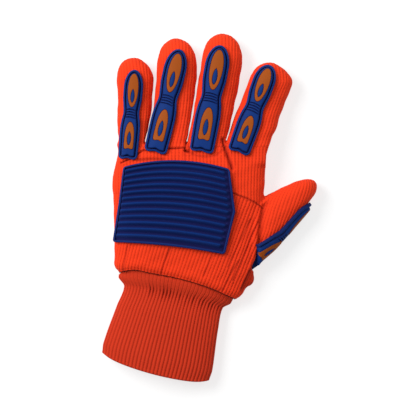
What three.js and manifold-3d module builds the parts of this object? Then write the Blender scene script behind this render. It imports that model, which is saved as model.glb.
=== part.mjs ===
// A left-hand impact work glove, lying palm down with its back up: a ribbed knit hand with five
// finger stalls, a rib-knit wrist cuff, a ridged rubber plate over the knuckles, and a rubber guard
// with two inset pads along each finger and the thumb. Millimetres, +Z up, fingers towards +Y.
import * as THREE from "three";
import Module from "manifold-3d";

const wasm = await Module();
wasm.setup();

// Fabric
const wall = 2.0; // corded knit of the hand and the stalls
const cuffWall = 2.4; // doubled rib knit of the cuff
const seamGap = 0.3; // clearance where two sewn pieces meet
const sink = 1.6; // how far the soft underside is pressed flat by the surface it lies on

// Hand
const handLength = 111; // wrist seam to the finger bases, along the middle
const handWidth = 120;
const handThick = 29;
const baseThick = 24; // of the hand where the stalls are sewn on, and of every stall there
const wristTilt = -0.2255; // slope of the wrist line across the hand
const seamBow = 6.8; // how far the wrist seam arches towards the fingers

// Finger stalls: base width, length, sideways lean of the tip and thickness
const fingers = {
  little: { width: 21, length: 72, lean: 0.4, thick: 19.5, from: -0.382 },
  ring: { width: 32.4, length: 87.2, lean: 7.6, thick: 21, from: -0.2015 },
  middle: { width: 30.8, length: 90.8, lean: 12.8, thick: 21.5, from: 0.071 },
  index: { width: 34.2, length: 67.6, lean: 17.2, thick: 21.5, from: 0.331 },
};
const tipSquareness = 2.2; // exponent of the rounded ends of the stalls

// Thumb stall
const thumb = { length: 63.2, width: 37, thick: 22.5, turn: -53, at: [62.4, 44] };
// How far the thumb's guard is turned up from facing sideways, in degrees, at its two ends; the
// turn is over by this share of its length.
const guardTilt = { base: 29, tip: 5, over: 0.75 };

// Wrist cuff
const cuffLength = 68.6;
const cuffWidth = 84;
const cuffThick = 19;
const cuffRibs = 40;
const ribDepth = 0.9;
const cuffTuck = 3.2; // length of cuff sewn inside the hand's edge

// Rubber guards, heights over the fabric
const guardGap = 0.75;
const rimHeight = 2.4;
const grooveHeight = 1.2;
const bodyHeight = 3.7;
const crownHeight = 4.1;
const rimWidth = 1.5;
const grooveWidth = 0.7;
const bodyEdge = 0.6; // slope from the groove up to the raised body
const guardWrap = 3.6; // how far a guard's edges drop below its crown
const seamReach = 6; // how far from a finger's seam a guard is held clear of both cloths

// Inset pads
const padRise = 0.35; // how far a pad stands above the guard's body
const pocketFloor = 1.9;
const padClearance = 0.3;
const flexGrooves = { count: 4, pitch: 2.3, width: 0.9, depth: 0.9 };

// Knuckle plate
const plateRibs = 12;
const plateHeight = 4.6;
const plateRim = 3.2;
const plateValley = 1.6;
const plateWrap = 10; // how far its left edge drops below its crown
const plateGap = 0.8; // clearance over the fabric

// Facets round each piece
const handSides = 32;
const stallSides = 18;
const padSides = 12;

// A table with named columns: one object for each row of numbers.
function table(columns, rows) {
  const names = columns.split(" ");
  return rows.map((row) => Object.fromEntries(names.map((name, i) => [name, row[i]])));
}

// Outlines of the stalls seen from above. "at" is a share of the length from the base, "left" and
// "right" are shares of the base width on either side of the leaning centre line.
const outlines = {
  little: table("at left right", [
    [0, 0.5, 0.5],
    [0.19, 0.53, 0.6],
    [0.41, 0.54, 0.72],
    [0.63, 0.563, 0.77],
    [0.77, 0.575, 0.825],
    [1, 0.49, 0.71],
  ]),
  ring: table("at left right", [
    [0, 0.497, 0.503],
    [0.156, 0.415, 0.54],
    [0.34, 0.38, 0.588],
    [0.52, 0.39, 0.6],
    [0.66, 0.388, 0.607],
    [0.8, 0.39, 0.57],
    [1, 0.41, 0.5],
  ]),
  middle: table("at left right", [
    [0, 0.5, 0.5],
    [0.15, 0.47, 0.517],
    [0.33, 0.465, 0.571],
    [0.5, 0.452, 0.626],
    [0.63, 0.434, 0.62],
    [0.77, 0.425, 0.637],
    [1, 0.51, 0.54],
  ]),
  index: table("at left right", [
    [0, 0.5, 0.5],
    [0.2, 0.475, 0.571],
    [0.38, 0.456, 0.583],
    [0.56, 0.405, 0.632],
    [0.675, 0.375, 0.66],
    [0.77, 0.345, 0.69],
    [1, 0.395, 0.41],
  ]),
  thumb: table("at left right", [
    [-0.38, 0.46, 0.53],
    [-0.22, 0.5, 0.54],
    [0.04, 0.555, 0.5],
    [0.19, 0.565, 0.446],
    [0.37, 0.555, 0.38],
    [0.48, 0.525, 0.335],
    [0.63, 0.47, 0.28],
    [0.75, 0.415, 0.235],
    [1, 0.345, 0.2],
  ]),
};

// The hand seen from above: "at" is a share of its length, "left", "right" and "thick" of its width
// and thickness, "tilt" the share of the wrist's slope, "bow" of the wrist seam's arch.
const handOutline = table("at left right thick tilt bow", [
  [0, 0.403, 0.403, 0.78, 1, 1],
  [0.06, 0.407, 0.458, 0.83, 0.9, 0.85],
  [0.14, 0.407, 0.51, 0.89, 0.72, 0.6],
  [0.27, 0.408, 0.535, 0.96, 0.45, 0.3],
  [0.45, 0.41, 0.545, 1, 0.22, 0.1],
  [0.64, 0.417, 0.575, 1, 0.1, 0],
  [0.77, 0.422, 0.593, 0.98, 0, 0],
  [0.88, 0.397, 0.596, 0.92, 0, 0],
  [1, 0.382, 0.617, baseThick / handThick, 0, 0],
]);

// The cuff, from just outside the hand's edge to its open end.
const cuffOutline = table("at left right thick bow", [
  [0.028, 0.57, 0.553, 1.12, 0.94],
  [0.065, 0.555, 0.54, 1.08, 0.72],
  [0.135, 0.487, 0.483, 0.96, 0.35],
  [0.38, 0.507, 0.481, 0.93, 0.05],
  [0.85, 0.545, 0.503, 0.97, -0.1],
  [1, 0.525, 0.475, 0.95, -0.6],
]);

// Guards seen from above. "base" and "tip" are shares of the stall's base width across and of its
// length along; "width" is the width of the broad end of the guard.
const guards = {
  little: { base: [-0.13, -0.12], tip: [0.06, 0.862], width: 16 },
  ring: { base: [-0.263, -0.045], tip: [0.035, 0.902], width: 18 },
  middle: { base: [-0.1, -0.035], tip: [-0.02, 0.898], width: 19.4 },
  index: { base: [-0.21, -0.075], tip: [0.03, 0.976], width: 19 },
  thumb: { base: [0, -0.33], tip: [0, 0.81], width: 18 },
};

// Half of a guard's width along it, as a share of its broad end's half width.
const guardOutline = table("at half", [
  [0, 0.93],
  [0.2, 0.945],
  [0.34, 0.94],
  [0.43, 0.88],
  [0.49, 0.83],
  [0.54, 0.85],
  [0.6, 0.93],
  [0.7, 1],
  [0.82, 1],
  [1, 0.95],
]);
const guardTip = 0.2; // share of a guard's length that its rounded tip takes
const guardCorner = 3; // rounding of its two base corners
const guardWave = 1.1; // depth of the wave in its base edge

// Pads: centre and half length as shares of the guard's length, half width of the guard's half width.
const pads = {
  tip: { at: 0.77, long: 0.185, wide: 0.5, taper: 0.12, square: 2, hole: 0.7, holeLong: 0.072 },
  base: { at: 0.275, long: 0.155, wide: 0.52, taper: -0.14, square: 3, hole: 0.215, holeLong: 0.075 },
};
const padHoleWide = 0.21;

// The knuckle plate's edges: shares of the hand's width across and of its length along.
const plateSides = table("down leftX leftY rightX rightY bow", [
  [0, -0.349, 0.857, 0.357, 0.841, 0.055],
  [0.5, -0.38, 0.6, 0.394, 0.535, 0.04],
  [1, -0.412, 0.322, 0.325, 0.232, 0.018],
]);

// Value of a column between a table's rows, on a smooth curve through them.
function smooth(rows, at, column) {
  const last = rows.length - 1;
  let i = rows.findIndex((row) => row.at > at) - 1;
  if (i < 0) i = at <= rows[0].at ? 0 : last - 1;
  const slope = (j) => {
    const a = rows[Math.max(j - 1, 0)];
    const b = rows[Math.min(j + 1, last)];
    return (b[column] - a[column]) / (b.at - a.at);
  };
  const [a, b] = [rows[i], rows[i + 1]];
  const span = b.at - a.at;
  const t = (at - a.at) / span;
  const bend = slope(i) * (1 - t) ** 2 * t - slope(i + 1) * t * t * (1 - t);
  return a[column] * (1 + 2 * t) * (1 - t) ** 2 + b[column] * t * t * (3 - 2 * t) + bend * span;
}

// A tube of cloth lying along its own direction: each kind gives its section at a distance along it.
function stall(name) {
  const f = fingers[name];
  return {
    place: [f.from * handWidth + f.width / 2, handLength + seamGap],
    turn: 0,
    end: f.length,
    dome: f.length * 0.74,
    section(along) {
      const at = along / f.length;
      const lean = f.lean * at;
      const grown = Math.min(1, Math.max(0, at / 0.45));
      return {
        left: lean - f.width * smooth(outlines[name], at, "left"),
        right: lean + f.width * smooth(outlines[name], at, "right"),
        thick: baseThick + (f.thick - baseThick) * grown,
        square: 5 - 2.5 * grown,
      };
    },
  };
}

const thumbStall = {
  place: thumb.at,
  turn: (thumb.turn * Math.PI) / 180,
  end: thumb.length,
  dome: thumb.length * 0.66,
  section(along) {
    const at = along / thumb.length;
    return {
      left: -thumb.width * 0.8 * smooth(outlines.thumb, at, "left"),
      right: thumb.width * smooth(outlines.thumb, at, "right"),
      thick: thumb.thick,
      square: 2.5,
    };
  },
};

const hand = {
  place: [0, 0],
  turn: 0,
  end: handLength,
  section(along) {
    const at = along / handLength;
    const ends = Math.max(0, (at - 0.8) / 0.2);
    return {
      left: -handWidth * smooth(handOutline, at, "left"),
      right: handWidth * smooth(handOutline, at, "right"),
      thick: handThick * smooth(handOutline, at, "thick"),
      tilt: wristTilt * smooth(handOutline, at, "tilt"),
      bow: seamBow * smooth(handOutline, at, "bow"),
      square: 2.8 + 2.2 * ends,
    };
  },
};

const cuff = {
  place: [0, 0],
  turn: Math.PI - Math.atan(-wristTilt),
  end: cuffLength,
  section(along) {
    const at = along / cuffLength;
    return {
      left: -cuffWidth * smooth(cuffOutline, at, "right"),
      right: cuffWidth * smooth(cuffOutline, at, "left"),
      thick: cuffThick * smooth(cuffOutline, at, "thick"),
      bow: -seamBow * smooth(cuffOutline, at, "bow"),
      square: 2.6,
    };
  },
};

// The section at a distance along a tube, taken in by "inset" all round, or let out if it is negative.
function sectionAt(tube, along, inset) {
  const s = tube.section(along);
  const round = tube.dome
    ? Math.max(0, (along - tube.dome) / (tube.end - inset - tube.dome))
    : 0;
  const close = round > 0 ? Math.max(0, 1 - round ** tipSquareness) ** (1 / tipSquareness) : 1;
  const half = (s.thick + sink) / 2;
  return {
    middle: (s.left + s.right) / 2,
    across: ((s.right - s.left) / 2 - inset) * close,
    centre: s.thick / 2 - sink / 2 - (1 - close) * half * 0.25,
    upright: (half - inset) * close,
    square: s.square,
    tilt: s.tilt || 0,
    bow: s.bow || 0,
  };
}

// From a tube's own directions to the drawing's.
function toDrawing(tube, u, v, z) {
  const [c, s] = [Math.cos(tube.turn), Math.sin(tube.turn)];
  return [tube.place[0] + u * c - v * s, tube.place[1] + u * s + v * c, z];
}

const power = (x, p) => Math.sign(x) * Math.abs(x) ** p;

// One closed ring of points round a tube; the underside is flat where it rests.
function ring(tube, along, inset, count, ribs = 0) {
  const s = sectionAt(tube, along, inset);
  const points = [];
  for (let k = 0; k < count; k++) {
    const angle = (2 * Math.PI * k) / count;
    const ridge = ribs && k % 2 ? ribs : 0;
    const u = (s.across - ridge) * power(Math.cos(angle), 2 / s.square);
    const z = s.centre + (s.upright - ridge) * power(Math.sin(angle), 2 / s.square);
    const v = along + s.tilt * u + s.bow * (1 - (u / s.across) ** 2);
    points.push(toDrawing(tube, s.middle + u, v, Math.max(z, Math.max(inset, 0))));
  }
  return points;
}

function tipPoint(tube, inset) {
  const s = sectionAt(tube, tube.end - inset, inset);
  return [toDrawing(tube, s.middle, tube.end - inset, Math.max(s.centre, inset))];
}

// One closed mesh through rings of equal count, or single points where it closes to a tip.
function loft(rings, loop) {
  const points = rings.flat();
  const starts = rings.map((_, i) => rings.slice(0, i).reduce((n, r) => n + r.length, 0));
  const faces = [];
  for (let i = 0; i < rings.length - (loop ? 0 : 1); i++) {
    const j = (i + 1) % rings.length;
    const [a, b] = [rings[i].length, rings[j].length];
    if (a === 1 && b === 1) continue;
    const count = Math.max(a, b);
    for (let k = 0; k < count; k++) {
      const next = (k + 1) % count;
      const [a0, a1] = [starts[i] + (a > 1 ? k : 0), starts[i] + (a > 1 ? next : 0)];
      const [b0, b1] = [starts[j] + (b > 1 ? k : 0), starts[j] + (b > 1 ? next : 0)];
      if (a > 1) faces.push([a0, b0, a1]);
      if (b > 1) faces.push([b0, b1, a1]);
    }
  }
  return { points, faces };
}

// One closed mesh through rings that each run over a top and back under it, with both ends closed.
// "over" and "under" say how far across each point of a ring lies.
function slab(rings, over, under) {
  const { points, faces } = loft(rings, false);
  const start = points.length - rings[0].length;
  let [i, j] = [0, over.length + under.length - 1];
  while (i < over.length - 1 || j > over.length) {
    const stepOver = i < over.length - 1 ? Math.abs(over[i + 1] - over[0]) : Infinity;
    const stepUnder = j > over.length ? Math.abs(under[j - 1 - over.length] - over[0]) : Infinity;
    const near = stepOver <= stepUnder ? i + 1 : j - 1;
    faces.push([i, near, j], [start + i, start + j, start + near]);
    if (near === i + 1) i = near;
    else j = near;
  }
  return { points, faces };
}

function solid({ points, faces }) {
  return new wasm.Manifold(
    new wasm.Mesh({
      numProp: 3,
      vertProperties: new Float32Array(points.flat()),
      triVerts: new Uint32Array(faces.flat()),
    }),
  );
}

const spread = (from, to, count) =>
  Array.from({ length: count }, (_, i) => from + ((to - from) * i) / (count - 1));

// Distances along a stall for its rings: even up to the rounded end, then closing in on the tip.
function stations(tube, from, inset, body, end) {
  const stop = tube.end - inset;
  const rounds = spread(0, 1, end + 1)
    .slice(1, -1)
    .map((t) => tube.dome + (stop - tube.dome) * Math.sin((t * Math.PI) / 2));
  return [...spread(from, tube.dome, body), ...rounds];
}

// A finger or thumb stall: outer skin up to the tip, inner skin back down to the open base.
function sock(tube, from, count) {
  const outer = stations(tube, from, 0, 5, 4).map((v) => ring(tube, v, 0, count));
  const inner = stations(tube, from, wall, 4, 3).map((v) => ring(tube, v, wall, count));
  return solid(
    loft([...outer, tipPoint(tube, 0), tipPoint(tube, wall), ...inner.reverse()], true),
  );
}

// The solid inside a tube's skin, let out or taken in, from one distance to another.
function filled(tube, from, to, inset, count) {
  const cut = tube.dome ? stations(tube, from, inset, 6, 5) : spread(from, to, 9);
  const rings = cut.map((v) => ring(tube, v, inset, count));
  const far = tube.dome ? tipPoint(tube, inset) : middleOf(rings[rings.length - 1]);
  return solid(loft([middleOf(rings[0]), ...rings, far], false));
}

function middleOf(points) {
  const sum = points.reduce((a, p) => a.map((x, i) => x + p[i]), [0, 0, 0]);
  return [sum.map((x) => x / points.length)];
}

// The hand: open at the wrist and at the finger bases, with a way into the thumb at its side.
function makeHand() {
  const count = handSides;
  const [edge, ...rest] = handOutline.map((row) => row.at * handLength);
  const at = [edge, cuffTuck, ...rest];
  const outer = at.map((v) => ring(hand, v, 0, count));
  const inner = at.filter((_, i) => i < 2 || i % 2).map((v) => ring(hand, v, wall, count));
  const shell = solid(loft([...outer, ...inner.reverse()], true));
  const way = filled(thumbStall, -thumb.length * 0.3, 0, wall, stallSides);
  return shell.subtract(way);
}

function makeThumb() {
  return outsideHand(sock(thumbStall, -thumb.length * 0.34, stallSides), seamGap);
}

// What is left of a piece beyond the hand's skin and a clearance from it.
function outsideHand(piece, clearance) {
  const room = filled(hand, 0, handLength, -clearance, handSides);
  const [kept] = piece.subtract(room).decompose().sort((a, b) => b.volume() - a.volume());
  return kept;
}

// The cuff's sewn-in end follows the inside of the hand's edge, and its rows run the other way.
function makeCuff() {
  const count = cuffRibs * 2;
  const turned = (points) => points.map((_, k) => points[(count * 1.5 - k) % count]);
  const tucked = (v, inset, ribs) => turned(ring(hand, v, wall + seamGap + inset, count, ribs));
  const at = cuffOutline.map((row) => row.at * cuffLength);
  const outer = at.map((v) => ring(cuff, v, 0, count, ribDepth));
  const inner = [at[2], at[at.length - 1]].map((v) => ring(cuff, v, cuffWall, count));
  outer.unshift(tucked(cuffTuck, 0, 0), tucked(0, 0, 0));
  inner.unshift(tucked(cuffTuck, cuffWall, 0));
  return solid(loft([...outer, ...inner.reverse()], true));
}

// Height of a tube's skin over a point of the drawing, looking along "tilt" in its own section.
function reach(s, across, tilt) {
  const [c, n] = [Math.cos(tilt), Math.sin(tilt)];
  const inside = (h) => {
    const u = across * n + h * c;
    const z = -across * c + h * n;
    return Math.abs(u / s.across) ** s.square + Math.abs(z / s.upright) ** s.square < 1;
  };
  if (!inside(0)) return 0;
  let [low, high] = [0, s.across + s.upright];
  for (let i = 0; i < 30; i++) {
    const mid = (low + high) / 2;
    if (inside(mid)) low = mid;
    else high = mid;
  }
  return low;
}

function skinOver(tube, x, y) {
  const [u0, v0] = [x - tube.place[0], y - tube.place[1]];
  let along = Math.min(v0, tube.end - 0.01);
  for (let i = 0; i < 12 && tube === hand; i++) {
    const s = sectionAt(tube, along, 0);
    const share = Math.min(1, Math.abs((u0 - s.middle) / s.across));
    along = Math.max(0, v0 - s.tilt * (u0 - s.middle) - s.bow * (1 - share * share));
  }
  const s = sectionAt(tube, Math.max(along, 0), 0);
  return s.centre + reach(s, u0 - s.middle, Math.PI / 2);
}

// Places a guard's own coordinates on a finger: across, along from its base, and height over the skin.
function onFinger(name) {
  const tube = stall(name);
  const f = fingers[name];
  const g = guards[name];
  const point = ([across, along]) => [
    tube.place[0] + across * f.width + f.lean * along,
    tube.place[1] + along * f.length,
  ];
  const [foot, top] = [point(g.base), point(g.tip)];
  const length = Math.hypot(top[0] - foot[0], top[1] - foot[1]);
  const dir = [(top[0] - foot[0]) / length, (top[1] - foot[1]) / length];
  const seam = tube.place[1];
  const skin = (x, y) => {
    const overHand = y < seam + seamReach ? skinOver(hand, x, Math.min(y, handLength)) : 0;
    const overStall = y > seam - seamReach ? skinOver(tube, x, Math.max(y, seam)) : 0;
    return Math.max(overHand, overStall);
  };
  return {
    length,
    width: g.width,
    clear: (piece) => piece,
    at(u, v, h) {
      const [cx, cy] = [foot[0] + dir[0] * v, foot[1] + dir[1] * v];
      const [x, y] = [cx + dir[1] * u, cy - dir[0] * u];
      return [x, y, Math.max(skin(x, y), skin(cx, cy) - guardWrap) + h];
    },
  };
}

// The same on the thumb, whose guard faces out sideways and a little up.
function onThumb() {
  const g = guards.thumb;
  const from = g.base[1] * thumb.length;
  const length = (g.tip[1] - g.base[1]) * thumb.length;
  const turned = (v) => {
    const share = Math.min(1, Math.max(0, v / (guardTilt.over * length)));
    const eased = share * share * (3 - 2 * share);
    return ((guardTilt.base + (guardTilt.tip - guardTilt.base) * eased) * Math.PI) / 180;
  };
  return {
    length,
    width: g.width,
    clear: (piece) => outsideHand(piece, guardGap),
    at(u, v, h) {
      const along = from + v;
      const tilt = turned(v);
      const s = sectionAt(thumbStall, along, 0);
      const side = reach(s, u, tilt);
      const crown = reach(s, 0, tilt);
      const out = Math.max(side, crown - guardWrap) + h;
      const across = s.middle + u * Math.sin(tilt) + out * Math.cos(tilt);
      const z = s.centre - u * Math.cos(tilt) + out * Math.sin(tilt);
      return toDrawing(thumbStall, across, along, z);
    },
  };
}

// Half width of a guard at a distance from its base, and how steeply its edge runs there.
function guardHalf(place, v) {
  const at = v / place.length;
  const tip = Math.max(0, (at - (1 - guardTip)) / guardTip);
  const corner = Math.max(0, (guardCorner - v) / guardCorner);
  const tipRound = Math.sqrt(Math.max(0, 1 - tip ** 2));
  const cornerRound = Math.max(0, 1 - corner ** 3 * 0.35);
  return (place.width / 2) * smooth(guardOutline, at, "half") * tipRound * cornerRound;
}

function guardSlant(place, v) {
  const step = 0.05;
  const rise = (guardHalf(place, v + step) - guardHalf(place, v - step)) / (2 * step);
  return Math.hypot(1, Math.min(Math.abs(rise), 6));
}

// Height of a guard's face at a distance in from its edge.
function guardFace(fromEdge, toCrown) {
  const steps = table("at height", [
    [0, rimHeight - 0.4],
    [0.3, rimHeight],
    [rimWidth, rimHeight],
    [rimWidth + grooveWidth, grooveHeight],
    [rimWidth + grooveWidth + bodyEdge, bodyHeight],
  ]);
  const i = steps.findIndex((step) => step.at > fromEdge);
  if (i < 0) return bodyHeight + (crownHeight - bodyHeight) * toCrown;
  if (i === 0) return steps[0].height;
  const [a, b] = [steps[i - 1], steps[i]];
  return a.height + ((b.height - a.height) * (fromEdge - a.at)) / (b.at - a.at);
}

// A guard's body before it is cut: rows of closed rings from its base to its tip.
function guardBlank(place) {
  const { length } = place;
  const steps = [0, rimWidth, rimWidth + grooveWidth, rimWidth + grooveWidth + bodyEdge];
  const under = [-1, -0.83, -0.5, 0, 0.5, 0.83, 1];
  const nearBase = steps.map((d) => d + 0.02);
  const nearTip = [...steps.map((d) => length - 0.35 - d * 1.05).reverse()];
  const rows = [...nearBase, ...spread(nearBase[3], nearTip[0], 11).slice(1, -1), ...nearTip];
  const rings = rows.map((v) => {
    const half = guardHalf(place, v);
    const slant = guardSlant(place, v);
    const most = half / (steps[3] * slant);
    const across = steps.map((d) => half - d * slant * Math.min(1, most * 0.98));
    const wave = (u) => guardWave * Math.sin((u / half) * Math.PI) * Math.max(0, 1 - v / 9);
    const end = Math.min(v, length - v);
    const face = (u) => {
      const fromEdge = Math.min((half - Math.abs(u)) / slant, end) + 1e-6;
      return guardFace(fromEdge, 1 - Math.abs(u) / half);
    };
    const top = [...across, 0, ...across.map((u) => -u).reverse()];
    return [
      ...top.map((u) => place.at(u, v + wave(u), guardGap + face(u))),
      ...under.map((share) => place.at(share * half, v + wave(share * half), guardGap)),
    ];
  });
  return solid(slab(rings, [1, 0.9, 0.8, 0.7, 0, -0.7, -0.8, -0.9, -1], under));
}

// Points round a pad or its window: an egg, squared at its foot on the base pad.
function padLoop(place, pad, grow, count) {
  const half = (place.width / 2) * pad.wide + grow;
  const long = place.length * pad.long + grow;
  return Array.from({ length: count }, (_, k) => {
    const angle = (2 * Math.PI * k) / count;
    const square = Math.sin(angle) < 0 ? pad.square : 2;
    const v = power(Math.sin(angle), 2 / square);
    const u = power(Math.cos(angle), 2 / square) * (1 + pad.taper * v);
    return [u * half, place.length * pad.at + v * long];
  });
}

function padWindow(place, pad, grow, count) {
  const half = (place.width / 2) * padHoleWide + grow;
  const long = place.length * pad.holeLong + grow;
  return Array.from({ length: count }, (_, k) => {
    const angle = (2 * Math.PI * k) / count;
    return [half * Math.cos(angle), place.length * pad.hole + long * Math.sin(angle)];
  });
}

// A flat ring between two loops, wrapped over the fabric between two heights.
function wrapped(place, outer, inner, low, high) {
  const raise = (points, h) => points.map(([u, v]) => place.at(u, v, guardGap + h));
  return solid(
    loft([raise(outer, high), raise(outer, low), raise(inner, low), raise(inner, high)], true),
  );
}

function makePad(place, pad) {
  const outer = padLoop(place, pad, 0, padSides);
  const inner = padWindow(place, pad, 0, padSides);
  const low = pocketFloor + padClearance;
  return wrapped(place, outer, inner, low, crownHeight + padRise);
}

function padPocket(place, pad) {
  const outer = padLoop(place, pad, padClearance, padSides);
  const inner = padWindow(place, pad, -padClearance, padSides);
  return wrapped(place, outer, inner, pocketFloor, crownHeight + 2);
}

// One of the shallow grooves across a guard's waist that let it bend with the finger.
function flexCut(place, number) {
  const middle = 0.49 * place.length;
  const at = middle + (number - (flexGrooves.count - 1) / 2) * flexGrooves.pitch;
  const half = guardHalf(place, at) - rimWidth - grooveWidth;
  const rings = spread(half, -half, 3).map((u) => {
    const v = at + 0.9 * (1 - (u / half) ** 2);
    const [near, far] = [v - flexGrooves.width / 2, v + flexGrooves.width / 2];
    const floor = guardGap + bodyHeight - flexGrooves.depth;
    const clear = guardGap + crownHeight + 1;
    return [
      place.at(u, near, floor),
      place.at(u, far, floor),
      place.at(u, far, clear),
      place.at(u, near, clear),
    ];
  });
  return solid(loft([middleOf(rings[0]), ...rings, middleOf(rings[2])], false));
}

function makeGuard(place) {
  let guard = place.clear(guardBlank(place));
  for (const pad of Object.values(pads)) guard = guard.subtract(padPocket(place, pad));
  for (let i = 0; i < flexGrooves.count; i++) guard = guard.subtract(flexCut(place, i));
  return guard;
}

// The knuckle plate: rows from its upper edge to its lower one, with a rim and rounded ridges.
function makePlate() {
  const [rimEnd, bodyEnd] = [0.018, 0.03];
  const [rimSide, bodySide] = [0.018, 0.032];
  const ridge = (1 - 2 * bodyEnd) / plateRibs;
  const rows = [0, rimEnd];
  for (let i = 0; i < plateRibs; i++) rows.push(bodyEnd + i * ridge, bodyEnd + (i + 0.5) * ridge);
  rows.push(1 - bodyEnd, 1 - rimEnd, 1);
  const chamfer = 0.055;
  const sides = [1, 1 - rimSide, 1 - bodySide, 1 - chamfer, 0.6, 0.3, chamfer, bodySide, rimSide, 0];
  const under = [0, 0.06, 0.12, 0.2, 0.35, 0.65, 1];
  const face = (down, across) => {
    const end = Math.min(down, 1 - down);
    const side = Math.min(across, 1 - across);
    if (end <= rimEnd + 1e-9 || side <= rimSide + 1e-9) return plateRim;
    const inRidge = ((down - bodyEnd) / ridge) % 1;
    const high = inRidge > 0.25 && inRidge < 0.75 && side > bodySide + 1e-9;
    return high ? plateHeight : plateValley;
  };
  const place = (down, across, h) => {
    const edge = plateEdge(down);
    const x = edge.leftX + (edge.rightX - edge.leftX) * across;
    const y = edge.leftY + (edge.rightY - edge.leftY) * across;
    const arch = edge.bow * 4 * across * (1 - across);
    const at = [x * handWidth, (y + arch) * handLength];
    const crown = handThick - plateWrap;
    return [...at, Math.max(skinOver(hand, ...at), crown) + plateGap + h];
  };
  const rings = rows.map((down) => [
    ...sides.map((across) => place(down, across, face(down, across))),
    ...under.map((across) => place(down, across, 0)),
  ]);
  return solid(slab(rings.reverse(), sides, under));
}

function plateEdge(down) {
  const [a, b] = down < 0.5 ? plateSides.slice(0, 2) : plateSides.slice(1);
  const t = (down - a.down) / (b.down - a.down);
  return Object.fromEntries(Object.keys(a).map((key) => [key, a[key] + (b[key] - a[key]) * t]));
}

// Materials
const finish = (color, roughness) =>
  new THREE.MeshStandardMaterial({ color, roughness, metalness: 0 });
const knit = finish(0xe63a1c, 0.95);
const cuffKnit = finish(0xc0321c, 0.95);
const blueRubber = finish(0x1f3a86, 0.55);
const padRubber = finish(0xb0592a, 0.6);

const glove = new THREE.Group();

function add(name, made, material) {
  const found = made.getMesh();
  const points = new Float32Array(found.numVert * 3);
  for (let i = 0; i < found.numVert; i++) {
    const start = i * found.numProp;
    points.set(found.vertProperties.subarray(start, start + 3), i * 3);
  }
  const geometry = new THREE.BufferGeometry();
  geometry.setAttribute("position", new THREE.BufferAttribute(points, 3));
  geometry.setIndex(new THREE.BufferAttribute(found.triVerts, 1));
  geometry.computeVertexNormals();
  const mesh = new THREE.Mesh(geometry, material);
  mesh.name = name;
  glove.add(mesh);
}

add("hand_body", makeHand(), knit);
for (const name of Object.keys(fingers)) {
  add(`${name}_stall`, sock(stall(name), 0, stallSides), knit);
}
add("thumb_stall", makeThumb(), knit);
add("wrist_cuff", makeCuff(), cuffKnit);
add("knuckle_plate", makePlate(), blueRubber);
for (const name of Object.keys(guards)) {
  const place = name === "thumb" ? onThumb() : onFinger(name);
  add(`${name}_guard`, makeGuard(place), blueRubber);
  for (const kind of Object.keys(pads)) {
    add(`${name}_${kind}_pad`, makePad(place, pads[kind]), padRubber);
  }
}

// The glove's frame stands under the middle of its outline, on the surface that it lies on.
const box = new THREE.Box3().setFromObject(glove);
const middle = box.getCenter(new THREE.Vector3());
glove.position.set(-middle.x, -middle.y, 0);

export default glove;
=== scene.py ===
"""A left-hand impact work glove, lying palm down: a corded knit hand with a rib-knit cuff, a ridged
rubber plate over the knuckles, and a rubber guard with two inset pads along each finger and the thumb.

Shapes are worked out in millimetres in the glove's drawing, whose origin is the middle of the wrist
seam, with the fingers towards +Y. Each finished piece is set down in the frame, in metres."""

import contextlib
import functools
import math

import bmesh
import bpy
import numpy as np
from bpy.props import FloatProperty, FloatVectorProperty, IntProperty, PointerProperty
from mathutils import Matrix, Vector
from mathutils.bvhtree import BVHTree


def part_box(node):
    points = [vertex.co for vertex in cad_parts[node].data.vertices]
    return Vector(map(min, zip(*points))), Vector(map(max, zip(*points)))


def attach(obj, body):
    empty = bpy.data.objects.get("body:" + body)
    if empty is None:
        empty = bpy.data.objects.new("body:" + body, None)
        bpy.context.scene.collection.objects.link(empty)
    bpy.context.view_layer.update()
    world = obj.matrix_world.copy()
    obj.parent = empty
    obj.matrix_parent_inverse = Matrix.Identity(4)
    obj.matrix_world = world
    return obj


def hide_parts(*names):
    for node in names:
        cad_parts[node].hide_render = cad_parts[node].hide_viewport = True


bl_info = {
    "name": "Impact Glove",
    "version": (1, 0, 0),
    "blender": (4, 5, 0),
    "location": "View3D > Sidebar > Glove",
    "description": "Dresses an impact work glove's solids in rib knit and moulded rubber",
    "category": "Object",
}

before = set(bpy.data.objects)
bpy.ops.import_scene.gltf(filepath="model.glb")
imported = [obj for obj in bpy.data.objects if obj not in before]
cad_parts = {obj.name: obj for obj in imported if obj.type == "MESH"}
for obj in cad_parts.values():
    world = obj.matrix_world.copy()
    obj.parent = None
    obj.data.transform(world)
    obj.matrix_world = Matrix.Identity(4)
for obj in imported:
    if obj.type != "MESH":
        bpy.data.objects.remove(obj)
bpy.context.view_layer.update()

MM = 0.001
AXES = (Vector((1, 0, 0)), Vector((0, 1, 0)))

# Fabric
WALL = 2.0  # corded knit
CUFF_WALL = 2.4  # doubled rib knit
SEAM_GAP = 0.3
SINK = 1.6  # how far the underside is pressed flat
SKIN_VOXEL = 1.32
SKIN_OUT = 0.28  # how far the smoothed skin is let out again
LINING_VOXEL = 2.4
LINING_FLOOR = 0.9  # lowest place of the inner wall
# How far the forms of one skin reach past their seams: the hand's past the wrist and the finger seam,
# and a finger's into the hand
OVERLAP = {"wrist": 9.0, "fingers": 2.2, "root": 14.0}
SMALLEST_RIM = 45  # edges; an open loop of fewer is a nick that a cut left

# Cords
BACK_FROM = 9.0  # height over which the cords follow the back's lines
ROUND_WAY = 1.35  # between a straight corner, 1, and a straight slope, 2
FAN = (-185.0, -544.0)  # where the slanted cords of the heel would meet
FAN_RADIUS = 600.0
THUMB_CORDS = (0.829, 0.559)  # direction across the thumb's cords, in the thumb's own directions

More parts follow.
